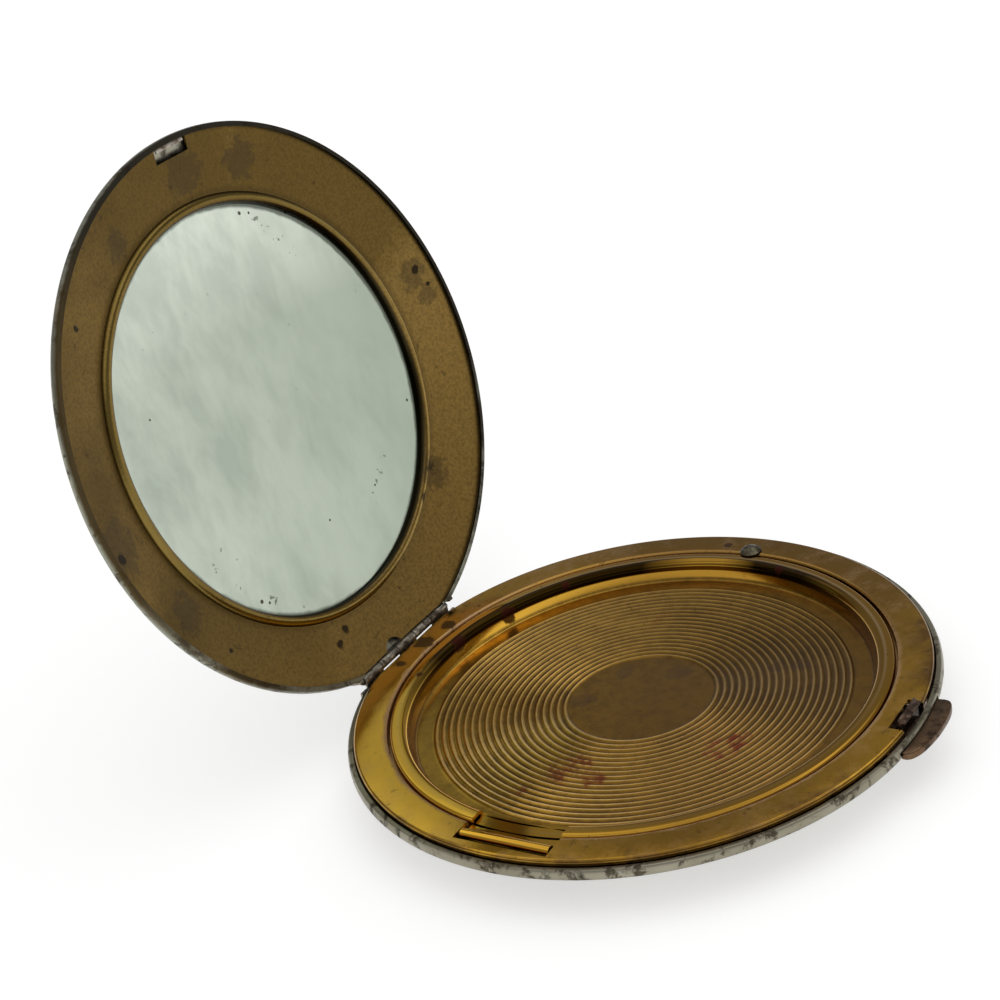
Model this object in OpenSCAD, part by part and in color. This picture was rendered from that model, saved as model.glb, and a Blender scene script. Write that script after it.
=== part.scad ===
// Round pocket compact with a mirror in the lid and a hinged powder door.
// The lid is drawn standing open. Z is up and the base rests on z = 0.
// The main hinge is at the rear (+Y) and the latch at the front (-Y).

/* [Shells] */
// Largest radius of both shells
shell_r = 38.1; // [36:0.1:42]
// Sheet thickness of both shells
shell_wall = 0.45; // [0.4:0.05:0.5]
// Height of the base shell from its flat bottom to its rim
base_h = 6.45; // [6.4:0.05:8]
// Depth of the lid shell from its rim to its flat back
lid_depth = 5.2; // [5.1:0.05:6]
// Height of the rim above the widest line of a shell
rim_h = 0.85; // [0.8:0.01:0.9]
// Width by which the rim leans in from the widest line
rim_in_w = 0.25; // [0.2:0.01:0.26]
// Round between the side wall and the sloping underside
edge_round = 0.6; // [0.55:0.01:0.7]
// Slope of the underside against the flat, in degrees
under_slope = 24; // [23:0.5:25]
// Gap between the two rims when the lid is shut
seam_gap = 0.05; // [0.02:0.01:0.1]
// Air left between two seated pieces
seat_gap = 0.02; // [0.01:0.01:0.05]

/* [Lid] */
// How far the lid stands open, in degrees from shut
lid_open = 104; // [0:1:112]
// Sheet thickness of the mirror frame
frame_t = 0.3; // [0.2:0.05:0.3]
// Gap between the mirror frame's edge and the inside of the lid
frame_gap = 0.11; // [0.08:0.01:0.2]
// Depth of the frame's outer edge below the lid rim
frame_edge_h = 0.55; // [0.5:0.05:0.6]
// Width of the mirror frame's sloping ring
frame_slope_w = 8.2; // [7.9:0.05:8.3]
// Depth of the frame's inner edge below the lid rim
frame_foot_h = 2.9; // [2.8:0.05:3]
// How far the line along the bead's top lies inside the foot of the slope
bead_top_in = 0.85; // [0.8:0.05:0.95]
// Radius of the bead's round
frame_bead_round = 0.8; // [0.7:0.05:0.9]
// How far the centre of the bead's round lies below the foot of the slope
bead_low_h = 0.2; // [0.15:0.05:0.25]
// How far the mirror's face lies below the centre of the bead's round
glass_low_h = 0.25; // [0.2:0.05:0.3]
// Thickness of the mirror glass
glass_t = 0.95; // [0.8:0.05:1]
// How far the mirror reaches out under the bead, past the line along its top
glass_under_w = 0.85; // [0.6:0.05:1]
// Thickness of the card behind the mirror
card_t = 0.35; // [0.2:0.05:0.4]
// Width of the mirror's edge that the card leaves free
card_short_w = 0.7; // [0.4:0.1:1.5]
// Width of the catch notch in the frame
lid_notch_w = 6.1; // [5.8:0.1:7]
// Depth of the catch notch from the frame's edge
lid_notch_d = 2.2; // [2.1:0.05:2.3]
// Radius of the lifting notch beside the hinge
lift_notch_r = 1.9; // [1:0.1:2.5]
// Sideways place of the lifting notch
lift_notch_x = -1.9; // [-4:0.1:4]
// How far the lifting notch's centre lies inside the frame's edge
lift_notch_in = 0.6; // [0.2:0.1:1.2]

/* [Deck] */
// Height of the deck's top above the base shell's rim
deck_rise = 0.75; // [0.7:0.05:0.8]
// Sheet thickness of the deck
deck_t = 0.4; // [0.3:0.05:0.4]
// Gap between the deck's skirt and the inside of the base shell's rim
deck_gap = 0.16; // [0.14:0.01:0.25]
// Width of the deck's flat ring
deck_ring_w = 4.43; // [4.3:0.01:4.5]
// Depth of the deck's turned-down lip from its top
lip_drop = 1.38; // [1.3:0.01:1.4]
// Depth of the deck's outer skirt from its top
skirt_drop = 1.92; // [1.5:0.01:1.93]
// How far the deck's straight rear edge lies in front of the hinge line
deck_back_w = 1; // [0.9:0.05:1.2]

/* [Powder well] */
// Sheet thickness of the powder well
well_t = 0.35; // [0.3:0.05:0.4]
// How far the well's wall lies inside the deck's opening
well_in_w = 1.77; // [1.7:0.01:1.85]
// How far the ledge that the door closes on reaches out under the deck
ledge_out_w = 0.43; // [0.3:0.01:0.45]
// Gap between the well's floor and the base shell
well_floor_gap = 0.05; // [0.02:0.01:0.3]
// How far the well's floor ends inside the foot of the base shell's slope
well_floor_in = 0.3; // [0.2:0.05:0.6]
// Height of the well's slope above the base shell's, at the well's wall
well_side_gap = 0.1; // [0.08:0.01:0.2]

/* [Powder door] */
// Gap between the door's rim and the deck's opening
door_gap = 0.22; // [0.18:0.01:0.26]
// Depth of the rim's top below the deck's top
door_rim_drop = 0.05; // [0.04:0.01:0.08]
// Round of the rim's outer edge
door_edge_round = 0.5; // [0.45:0.05:0.6]
// Width of the door's flat rim
door_rim_w = 1.55; // [1.45:0.05:1.6]
// Round between the rim and the door's wall
door_turn_round = 1; // [0.8:0.05:1.1]
// Height of the rim's outer flange
door_flange_h = 1.2; // [0.9:0.05:1.25]
// Sheet thickness of the door
door_t = 0.4; // [0.3:0.05:0.4]
// Depth of the door's floor below the deck's top
door_floor_drop = 2.8; // [2.6:0.05:2.9]
// Fillet between the door's floor and its wall
door_fillet = 0.6; // [0.5:0.05:0.8]
// Number of pressed rings
ring_count = 19; // [8:1:24]
// Radius of the plain disc in the middle
disc_r = 9.4; // [6:0.1:12]
// Width of the plain border round the pressed rings
ring_border_w = 2.7; // [2:0.1:5]
// Height of a pressed ring
ring_h = 0.22; // [0.1:0.01:0.3]

/* [Door hinge] */
// How far the door's hinge line lies outside the deck's opening
door_axis_out = 1.33; // [1.28:0.01:1.38]
// Depth of the door's hinge line below the deck's top
door_axis_drop = 0.55; // [0.5:0.05:0.6]
// Radius of the rolled barrel on the door
barrel_r = 0.7; // [0.65:0.05:0.75]
// Length of the rolled barrel
barrel_len = 12.2; // [8:0.1:14]
// Sideways place of the barrel's middle
barrel_y = -1.15; // [-2:0.05:0]
// Radius of the door's hinge pin
door_pin_r = 0.3; // [0.25:0.01:0.35]
// Clearance of a pin in a barrel it turns in
pin_clear = 0.03; // [0.02:0.01:0.05]
// Gap at each end of the barrel
barrel_gap = 0.3; // [0.1:0.05:0.5]
// How far the notch reaches outwards of the door's hinge line
door_notch_out = 1.6; // [1.5:0.05:1.75]
// Length of the ears that hold the door's pin
ear_len = 0.8; // [0.5:0.05:1]

/* [Door catch] */
// How far the middle of the stud's head lies outside the deck's opening
stud_out = 0.53; // [0.45:0.01:0.58]
// Sideways place of the stud
stud_y = 0; // [-1:0.1:1]
// Radius of the stud's head
stud_r = 1.5; // [1.45:0.05:1.55]
// Height of the head's straight side
stud_side = 0.15; // [0.05:0.05:0.2]
// Height of the head's domed top
stud_dome = 0.65; // [0.3:0.05:0.65]
// Travel of the stud outwards
stud_travel = 0.9; // [0.85:0.05:0.95]
// Radius of the stud's neck
neck_r = 0.4; // [0.3:0.05:0.4]
// How far the neck lies outside the head's centre
neck_out = 0.8; // [0.75:0.05:0.85]
// Gap round the neck in the deck
neck_gap = 0.05; // [0.03:0.01:0.08]
// Width of the plate under the deck
slide_w = 2.2; // [1.8:0.1:2.4]
// Thickness of the plate under the deck
slide_t = 0.33; // [0.25:0.01:0.35]
// How far the plate reaches inwards of the neck
slide_in = 0.7; // [0.6:0.05:0.75]
// How far the plate reaches outwards of the neck
slide_out = 1.3; // [1:0.05:1.3]
// Length of the leaf spring behind the plate
catch_spring_len = 5; // [4:0.1:5]
// Depth of that spring's bow when it is pressed
catch_spring_h = 0.15; // [0.1:0.01:0.15]

/* [Latch] */
// Sideways place of the latch, the slot and the catch
latch_x = 0.8; // [-1:0.1:1]
// Width of the hook
hook_w = 5; // [4:0.1:5]
// Sheet thickness of the hook
hook_t = 0.4; // [0.3:0.05:0.45]
// How far the hook's inner face lies inside the deck's edge
hook_in = 1; // [0.9:0.05:1.05]
// Height of the hook above the deck
hook_rise = 0.85; // [0.75:0.05:0.85]
// How far the hook's lip reaches outwards past its inner face
hook_reach = 0.9; // [0.85:0.05:0.95]
// Height of the lip's underside above the deck
lip_rise = 0.3; // [0.28:0.02:0.32]
// Travel of the thumb piece when it is pressed
latch_travel = 0.7; // [0.5:0.05:0.7]
// Width of the slot in the deck
slot_w = 6.2; // [5.6:0.1:7]
// Depth of the slot from the deck's edge
slot_d = 2.05; // [1.95:0.05:2.1]
// Depth of the underside of the latch's foot below the deck's sheet
foot_drop = 1.5; // [1.45:0.05:1.55]
// Length of the foot behind the hook
foot_len = 1.5; // [1:0.05:1.5]
// Width of the tongue that passes the shell wall
tongue_w = 4.4; // [3:0.1:5]
// Length of the thumb piece
thumb_len = 11.8; // [9:0.1:12.4]
// Thickness of the thumb piece
thumb_t = 1; // [0.7:0.05:1]
// How far the underside of the thumb piece lies below the foot's
thumb_low_h = 0.3; // [0.25:0.05:0.35]
// How far the thumb piece stands out past the shell
thumb_out = 2.3; // [1.5:0.1:3]
// Radius of the thumb piece's outer curve
thumb_curve_r = 16.4; // [12:0.1:25]
// Gap between the thumb piece and the shell at rest
thumb_gap = 0.2; // [0.15:0.05:0.3]
// Gap round the thumb piece in its window
window_gap = 0.12; // [0.1:0.01:0.14]
// How far the tongue enters the thumb piece
tongue_in = 1.5; // [1.2:0.05:1.6]
// Radius of the rivet that holds the thumb piece
rivet_r = 0.35; // [0.2:0.05:0.45]
// How far the rivet lies outside the thumb piece's inner face
rivet_in = 0.8; // [0.6:0.05:0.9]
// Thickness of the catch bar in the lid
catch_t = 0.25; // [0.2:0.01:0.25]
// Depth of the catch bar below the lid rim
catch_h = 0.7; // [0.68:0.01:0.72]
// How far the catch bar's inner edge lies outside the hook's inner face
catch_out = 0.55; // [0.5:0.05:0.6]
// Width of the catch bar
catch_w = 0.65; // [0.45:0.05:0.65]
// Sheet thickness of the latch guide
guide_t = 0.3; // [0.25:0.05:0.35]
// How far the underside of the guide lies below the foot's
guide_low_h = 0.42; // [0.4:0.01:0.44]
// Clearance between the latch and its guide
guide_gap = 0.1; // [0.05:0.01:0.12]
// Air between the guide and the pieces beside it
guide_air = 0.05; // [0.02:0.01:0.08]
// Gap between the guide's outer end and the hook's inner face
guide_end_gap = 0.15; // [0.15:0.05:0.5]
// Length of the guide to its rear wall
guide_len = 2.4; // [2.37:0.01:2.43]
// Sheet thickness of the springs
spring_t = 0.2; // [0.1:0.05:0.25]
// Height of the latch spring
spring_h = 0.7; // [0.5:0.05:0.8]
// Depth of the latch spring's bow
spring_bow = 1.6; // [1.2:0.05:1.65]
// Width of the latch spring's bow
spring_w = 5; // [4:0.1:5]

/* [Main hinge] */
// How far the hinge line lies inside the shells' largest radius
hinge_in = 1.2; // [1.15:0.01:1.25]
// Height of the hinge line above the deck's top
hinge_rise = 0.25; // [0.2:0.05:0.25]
// Radius of a knuckle
knuckle_r = 0.65; // [0.6:0.01:0.65]
// Width of the lid leaf's lug beyond each end of the pin
lug_w = 0.85; // [0.5:0.05:1.2]
// Gap between two knuckles
knuckle_gap = 0.12; // [0.05:0.01:0.3]
// Radius of the main hinge pin
pin_r = 0.3; // [0.25:0.01:0.35]
// Radius of the rounded pin ends
pin_head_r = 0.5; // [0.4:0.01:0.6]
// How far the pin ends stand out
pin_out = 0.45; // [0.2:0.05:0.6]
// Sheet thickness of the hinge leaves
leaf_t = 0.35; // [0.3:0.01:0.35]
// How far the hinge leaves stop short of the ends of the shells' straight edge
leaf_end_gap = 0.48; // [0.3:0.01:0.8]
// How far the shells' straight rear edge lies in front of the hinge line
chord_in = 0.7; // [0.68:0.01:0.75]
// Play between a leaf's edge and a turning knuckle
leaf_clear = 0.1; // [0.06:0.01:0.12]
// How far the lid leaf's top edge lies below the lid rim plane
leaf_top_h = 2.05; // [2:0.01:2.1]
// Height of the base leaf from its lower edge to the hinge line
leaf_h = 3; // [2.85:0.05:3.05]

/* [Hidden] */
$fn = 96;
// Overrun of every cut past the surface it opens
over = 0.5;
// Heights of the deck
deck_z = base_h + deck_rise;
deck_under = deck_z - deck_t;
lid_z = base_h + seam_gap;
// The rim's round, from how far it leans in over the bulge's height
rim_round = (rim_in_w * rim_in_w + rim_h * rim_h) / (2 * rim_in_w);
rim_in = shell_r - rim_round + sqrt(pow(rim_round - shell_wall, 2) - rim_h * rim_h);
// Main hinge: its line, the shells' straight rear edge, and the leaves
hinge_y = shell_r - hinge_in;
hinge_z = deck_z + hinge_rise;
chord_y = hinge_y - chord_in;
leaf_half = sqrt(shell_r * shell_r - chord_y * chord_y) - leaf_end_gap;
leaf_y = hinge_y - knuckle_r;
leaf_low_z = hinge_z - leaf_h;
knuckle_count = 5;
hinge_half = leaf_half - lug_w - pin_out - leaf_clear;
knuckle_len = 2 * hinge_half / knuckle_count;
knuckle_hole = pin_r + pin_clear;
// Mirror frame, from the lid's inside inwards
frame_r = shell_r - rim_round + sqrt(pow(rim_round - shell_wall, 2) - pow(rim_h - frame_edge_h, 2)) - frame_gap;
bead_foot_r = frame_r - frame_slope_w;
frame_bead_r = bead_foot_r - bead_top_in;
frame_bead_h = frame_foot_h + bead_low_h;
glass_h = frame_bead_h + glass_low_h;
glass_r = frame_bead_r + glass_under_w;
card_r = glass_r - card_short_w;
lid_notch_y = frame_r - lid_notch_d;
lift_notch_y = frame_r - lift_notch_in;
// Deck, from the base shell's rim inwards
deck_r = rim_in - deck_gap;
opening_r = deck_r - deck_ring_w;
deck_chord_y = hinge_y - deck_back_w;
// Powder well under the opening; its slope follows the inner foot of the base shell's slope
well_r = opening_r - well_in_w;
ledge_r = opening_r + ledge_out_w;
well_floor_z = shell_wall + well_floor_gap;
slope_inset = edge_round - shell_wall;
slope_foot_r = shell_r - edge_round + slope_inset * sin(under_slope)
    - (base_h - rim_h - slope_inset * cos(under_slope) - shell_wall) / tan(under_slope);
well_floor_r = slope_foot_r - well_floor_in;
well_wall_z = shell_wall + (well_r + well_t - slope_foot_r) * tan(under_slope) + well_side_gap;
// Door inside the opening, its levels and its hinge line
door_r = opening_r - door_gap;
door_turn_r = door_r - door_rim_w;
door_rim_z = deck_z - door_rim_drop;
door_wall_r = door_turn_r - door_turn_round;
door_turn_z = door_rim_z - door_turn_round;
door_floor_z = deck_z - door_floor_drop;
rings_r = door_wall_r - ring_border_w;
door_axis_x = opening_r + door_axis_out;
door_axis_z = deck_z - door_axis_drop;
door_notch_x = door_axis_x + door_notch_out;
// Share of the barrel's radius by which the tab's underside lies below its axis
tab_share = 0.85;
tab_z = door_axis_z - tab_share * barrel_r;
ring_pitch = (rings_r - disc_r) / ring_count;
// Share of the pitch a ring's flat crest takes
crest_share = 0.16;
notch_len = barrel_len + 2 * barrel_gap;
ear_z = door_axis_z - barrel_r + pin_clear;
// Levels and places of the door's catch
head_z = deck_z + seat_gap;
slide_z = deck_under - neck_gap - slide_t;
stud_x = opening_r + stud_out;
neck_x = stud_x + neck_out;
dome_r = (stud_r * stud_r + stud_dome * stud_dome) / (2 * stud_dome);
catch_bow_r = (catch_spring_len * catch_spring_len / 4 + catch_spring_h * catch_spring_h) / (2 * catch_spring_h);
// Latch, from the deck's edge inwards and from the deck's sheet down
hook_top = deck_z + hook_rise;
lip_z = deck_z + lip_rise;
hook_y = deck_r - hook_in;
hook_out = hook_y + hook_reach;
slot_y = deck_r - slot_d;
foot_z = deck_under - foot_drop;
thumb_z = foot_z - thumb_low_h;
thumb_face = shell_r + thumb_gap;
thumb_tip = shell_r + thumb_out;
thumb_curve_y = thumb_tip - thumb_curve_r;
rivet_y = thumb_face + rivet_in;
rivet_top = foot_z + hook_t + seat_gap;
window_w = thumb_len + 2 * window_gap + 2 * thumb_gap;
catch_y = hook_y + catch_out;
catch_end_y = catch_y + catch_w;
guide_z = foot_z - guide_low_h;
guide_y = hook_y - guide_end_gap;
guide_wall_y = guide_y - guide_len;
spring_arc_r = (spring_bow * spring_bow + spring_w * spring_w / 4) / (2 * spring_bow);

// Profile of a shell seen as a filled dish, grown inwards by inset
module dish_profile(depth, inset) {
    turn_z = depth - rim_h;
    low_r = edge_round - inset;
    high_r = rim_round - inset;
    touch_r = shell_r - edge_round + low_r * sin(under_slope);
    touch_z = turn_z - low_r * cos(under_slope);
    flat_r = touch_r - (touch_z - inset) / tan(under_slope);
    polygon([[0, inset], [flat_r, inset], [touch_r, touch_z], [shell_r - edge_round, turn_z], [0, turn_z]]);
    intersection() {
        translate([shell_r - edge_round, turn_z]) circle(r = low_r);
        translate([shell_r - edge_round, 0]) square([2 * edge_round, turn_z]);
    }
    translate([0, turn_z]) square([shell_r - rim_round, rim_h]);
    intersection() {
        translate([shell_r - rim_round, turn_z]) circle(r = high_r);
        translate([shell_r - rim_round, turn_z]) square([2 * rim_round, rim_h]);
    }
}

// One pressed shell, its flat side on z = 0 and its rim up, cut straight at the rear
module shell(depth) {
    difference() {
        rotate_extrude() difference() {
            dish_profile(depth, 0);
            dish_profile(depth, shell_wall);
        }
        translate([0, 0, depth]) cylinder(r = rim_in, h = over);
        translate([-shell_r, chord_y, -over]) cube([2 * shell_r, shell_r, depth + 2 * over]);
    }
}

// Places a lid piece: rim plane at z = 0 and back upwards, as when shut
module in_lid() {
    translate([0, hinge_y, hinge_z]) rotate([-lid_open, 0, 0])
        translate([0, -hinge_y, lid_z - hinge_z]) children();
}

// Base shell with the window for the thumb piece
module base_shell() {
    color("silver") difference() {
        shell(base_h);
        translate([latch_x - window_w / 2, -shell_r - over, thumb_z - window_gap])
            cube([window_w, shell_r - hook_y + over, thumb_t + 2 * window_gap]);
    }
}

// Gold deck: flat ring, rounded outer edge, skirt and turned-down lip
module deck_plate() {
    color("goldenrod") difference() {
        union() {
            rotate_extrude() difference() {
                union() {
                    translate([opening_r, deck_z - skirt_drop]) square([deck_ring_w, skirt_drop - deck_t]);
                    translate([opening_r + deck_t, deck_z - skirt_drop]) square([deck_ring_w - 2 * deck_t, skirt_drop]);
                    for (x = [opening_r + deck_t, deck_r - deck_t])
                        translate([x, deck_under]) circle(r = deck_t);
                }
                translate([opening_r + deck_t, deck_z - skirt_drop - over])
                    square([deck_ring_w - 2 * deck_t, skirt_drop - deck_t + over]);
                translate([opening_r - over, deck_z - skirt_drop - over])
                    square([deck_t + 2 * over, skirt_drop - lip_drop + over]);
            }
            for (s = [-1, 1])
                translate([-door_axis_x - barrel_r, barrel_y - ear_len / 2 + s * (notch_len + ear_len) / 2, ear_z])
                    cube([2 * barrel_r, ear_len, deck_z - deck_t / 2 - ear_z]);
        }
        translate([-deck_r, deck_chord_y, 0]) cube([2 * deck_r, deck_r, deck_z + over]);
        translate([-door_notch_x, barrel_y - notch_len / 2, deck_z - lip_drop - over])
            cube([door_notch_x - opening_r + 2 * over + deck_t, notch_len, lip_drop + 2 * over]);
        translate([-door_axis_x, barrel_y - notch_len / 2 - ear_len, door_axis_z]) rotate([-90, 0, 0])
            cylinder(r = door_pin_r + pin_clear, h = notch_len + 2 * ear_len);
        translate([latch_x - slot_w / 2, -deck_r - over, deck_z - skirt_drop - over])
            cube([slot_w, deck_r + over - slot_y, skirt_drop + 2 * over]);
        translate([latch_x - window_w / 2, -deck_r - over, 0])
            cube([window_w, deck_r + over - hook_y, thumb_z + thumb_t + window_gap]);
        for (k = [0, 1])
            translate([neck_x + k * stud_travel, stud_y, deck_under - over])
                cylinder(r = neck_r + neck_gap, h = deck_t + 2 * over);
        translate([neck_x, stud_y - neck_r - neck_gap, deck_under - over])
            cube([stud_travel, 2 * (neck_r + neck_gap), deck_t + 2 * over]);
    }
}

// Cup for the loose powder with the ledge the door closes on
module powder_well() {
    ledge_z = deck_z - lip_drop - well_t - seat_gap;
    color("darkgoldenrod") rotate_extrude() polygon([
        [0, well_floor_z], [well_floor_r, well_floor_z], [well_r + well_t, well_wall_z],
        [well_r + well_t, ledge_z], [ledge_r, ledge_z], [ledge_r, ledge_z + well_t],
        [well_r, ledge_z + well_t], [well_r, well_wall_z + well_t / 2],
        [well_floor_r, well_floor_z + well_t], [0, well_floor_z + well_t]]);
}

// Knuckles of one leaf: first, third and fifth, or second and fourth
module knuckles(first) {
    for (i = [first : 2 : 4])
        translate([i * knuckle_len - hinge_half + knuckle_gap / 2, hinge_y, 0]) rotate([0, 90, 0])
            cylinder(r = knuckle_r, h = knuckle_len - knuckle_gap);
}

// Bore through all knuckles
module knuckle_bore() {
    translate([-hinge_half - over, hinge_y, 0]) rotate([0, 90, 0])
        cylinder(r = knuckle_hole, h = 2 * hinge_half + 2 * over);
}

// Hinge leaf soldered behind the base shell's straight edge
module base_hinge_leaf() {
    web_h = hinge_z - leaf_low_z;
    bar_h = web_h - knuckle_r - leaf_clear;
    color("silver") difference() {
        union() {
            translate([-leaf_half, leaf_y, leaf_low_z]) cube([2 * leaf_half, leaf_t, bar_h - 2 * leaf_clear]);
            for (i = [0, 2, 4])
                translate([i * knuckle_len - hinge_half + knuckle_gap / 2, leaf_y, leaf_low_z])
                    cube([knuckle_len - knuckle_gap, leaf_t, web_h]);
            translate([0, 0, hinge_z]) knuckles(0);
        }
        translate([0, 0, hinge_z]) knuckle_bore();
    }
}

// Hinge leaf in the lid, with the second and fourth knuckles
module lid_hinge_leaf() {
    axis_h = hinge_z - lid_z;
    bar_low = axis_h + knuckle_r + leaf_clear;
    color("silver") in_lid() difference() {
        union() {
            translate([-leaf_half, leaf_y, bar_low]) cube([2 * leaf_half, leaf_t, leaf_top_h - bar_low]);
            for (s = [-1, 1])
                translate([s * (leaf_half - lug_w / 2) - lug_w / 2, leaf_y, leaf_clear])
                    cube([lug_w, leaf_t, leaf_top_h - leaf_clear]);
            for (i = [1, 3])
                translate([i * knuckle_len - hinge_half + knuckle_gap / 2, leaf_y, axis_h])
                    cube([knuckle_len - knuckle_gap, leaf_t, leaf_top_h - axis_h]);
            translate([0, 0, axis_h]) knuckles(1);
        }
        translate([0, 0, axis_h]) knuckle_bore();
    }
}

// Main hinge pin with rounded ends
module hinge_pin() {
    color("dimgray") translate([-hinge_half, hinge_y, hinge_z]) rotate([0, 90, 0]) {
        cylinder(r = pin_r, h = 2 * hinge_half);
        for (s = [-1, 1])
            translate([0, 0, hinge_half + s * (hinge_half + pin_out / 2) - pin_out / 2])
                intersection() {
                    cylinder(r = pin_head_r, h = pin_out);
                    translate([0, 0, pin_out / 2 - s * pin_out / 2]) sphere(r = pin_head_r);
                }
    }
}

// Profile of the powder door: flange, flat rim, round, wall, fillet, floor and pressed rings
module door_profile() {
    low_z = door_floor_z - door_t;
    translate([0, low_z]) square([door_wall_r + door_t, door_t]);
    translate([door_wall_r, low_z]) square([door_t, door_turn_z - low_z]);
    difference() {
        translate([door_wall_r - door_fillet, door_floor_z]) square([door_fillet, door_fillet]);
        translate([door_wall_r - door_fillet, door_floor_z + door_fillet]) circle(r = door_fillet);
    }
    difference() {
        intersection() {
            translate([door_turn_r, door_turn_z]) circle(r = door_turn_round);
            translate([door_wall_r, door_turn_z]) square([door_turn_round, door_turn_round]);
        }
        translate([door_turn_r, door_turn_z]) circle(r = door_turn_round - door_t);
    }
    translate([door_turn_r, door_rim_z - door_t]) square([door_r - door_edge_round - door_turn_r, door_t]);
    intersection() {
        translate([door_r - door_edge_round, door_rim_z - door_edge_round]) difference() {
            circle(r = door_edge_round);
            circle(r = door_edge_round - door_t);
        }
        translate([door_r - door_edge_round, door_rim_z - door_edge_round])
            square([door_edge_round, door_edge_round]);
    }
    translate([door_r - door_t, door_rim_z - door_flange_h]) square([door_t, door_flange_h - door_edge_round]);
    for (k = [0 : ring_count - 1]) {
        foot = disc_r + k * ring_pitch;
        polygon([[foot, door_floor_z], [foot + ring_pitch * (1 - crest_share) / 2, door_floor_z + ring_h],
            [foot + ring_pitch * (1 + crest_share) / 2, door_floor_z + ring_h], [foot + ring_pitch, door_floor_z]]);
    }
}

// Powder door: rim level with the deck, sunk floor with pressed rings, tab and barrel
module powder_door() {
    tab_len = door_axis_x - door_wall_r + 2 * door_t + over;
    color("goldenrod") difference() {
        union() {
            difference() {
                rotate_extrude() door_profile();
                translate([-door_axis_x, barrel_y - barrel_len / 2, tab_z + door_t])
                    cube([tab_len, barrel_len, door_rim_z - tab_z]);
            }
            difference() {
                translate([-door_axis_x, barrel_y - barrel_len / 2, tab_z]) cube([tab_len, barrel_len, door_t]);
                translate([0, 0, tab_z - over]) cylinder(r = door_wall_r + door_t / 2, h = door_t + 2 * over);
            }
            translate([-door_axis_x, barrel_y - barrel_len / 2, door_axis_z]) rotate([-90, 0, 0])
                cylinder(r = barrel_r, h = barrel_len);
        }
        translate([-door_axis_x, barrel_y - barrel_len / 2 - over, door_axis_z]) rotate([-90, 0, 0])
            cylinder(r = door_pin_r + pin_clear, h = barrel_len + 2 * over);
    }
}

// Pin of the powder door, held in the deck's two ears
module door_hinge_pin() {
    color("dimgray") translate([-door_axis_x, barrel_y - notch_len / 2 - ear_len, door_axis_z])
        rotate([-90, 0, 0]) cylinder(r = door_pin_r, h = notch_len + 2 * ear_len);
}

// Domed stud whose head holds the door's rim down
module catch_stud() {
    color("dimgray") {
        translate([stud_x, stud_y, head_z]) cylinder(r = stud_r, h = stud_side);
        translate([stud_x, stud_y, head_z + stud_side]) intersection() {
            cylinder(r = stud_r, h = stud_dome);
            translate([0, 0, stud_dome - dome_r]) sphere(r = dome_r);
        }
        translate([neck_x, stud_y, slide_z]) cylinder(r = neck_r, h = head_z - slide_z);
    }
}

// Plate under the deck, riveted to the stud's neck
module catch_slide() {
    color("gray") difference() {
        translate([neck_x - slide_in, stud_y - slide_w / 2, slide_z]) cube([slide_in + slide_out, slide_w, slide_t]);
        translate([neck_x, stud_y, slide_z - over]) cylinder(r = neck_r, h = slide_t + 2 * over);
    }
}

// Bowed leaf spring between the plate and the deck's skirt, drawn at its pressed shape
module catch_spring() {
    color("gray") translate([neck_x + slide_out + stud_travel + seat_gap, stud_y, slide_z]) intersection() {
        translate([catch_bow_r, 0, 0]) difference() {
            cylinder(r = catch_bow_r, h = slide_t);
            translate([0, 0, -over]) cylinder(r = catch_bow_r - spring_t, h = slide_t + 2 * over);
        }
        translate([0, -catch_spring_len / 2, 0]) cube([catch_spring_len, catch_spring_len, slide_t]);
    }
}

// Latch hook: foot, upright web and sloping lip
module latch_hook() {
    color("sienna") {
        translate([latch_x - hook_w / 2, 0, 0]) rotate([90, 0, 90]) linear_extrude(hook_w)
            polygon([[-hook_y + foot_len, foot_z], [-hook_y - hook_t, foot_z], [-hook_y - hook_t, lip_z],
                [-hook_out, lip_z], [-hook_out, lip_z + guide_gap], [-hook_y - hook_t, hook_top - hook_t],
                [-hook_y, hook_top], [-hook_y, foot_z + hook_t], [-hook_y + foot_len, foot_z + hook_t]]);
        difference() {
            translate([latch_x - tongue_w / 2, -thumb_face - tongue_in, foot_z])
                cube([tongue_w, thumb_face + tongue_in - hook_y, hook_t]);
            translate([latch_x, -rivet_y, foot_z - over]) cylinder(r = rivet_r, h = hook_t + 2 * over);
        }
    }
}

// Crescent thumb piece outside the shell, with a pocket for the tongue and a hole for the rivet
module thumb_piece() {
    color("sienna") difference() {
        intersection() {
            translate([0, 0, thumb_z]) difference() {
                translate([latch_x, -thumb_curve_y, 0]) cylinder(r = thumb_curve_r, h = thumb_t);
                translate([0, 0, -over]) cylinder(r = thumb_face, h = thumb_t + 2 * over);
            }
            translate([latch_x - thumb_len / 2, -shell_r - 2 * thumb_out, 0])
                cube([thumb_len, shell_r, base_h]);
        }
        translate([latch_x - tongue_w / 2 - seat_gap, -thumb_face - tongue_in - seat_gap, foot_z - seat_gap])
            cube([tongue_w + 2 * seat_gap, tongue_in + 2 * over, hook_t + 2 * seat_gap]);
        translate([latch_x, -rivet_y, thumb_z - over]) cylinder(r = rivet_r, h = rivet_top - thumb_z + over);
    }
}

// Rivet set from below through the thumb piece and the tongue
module thumb_rivet() {
    color("dimgray") translate([latch_x, -rivet_y, thumb_z]) cylinder(r = rivet_r, h = rivet_top - thumb_z);
}

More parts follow.
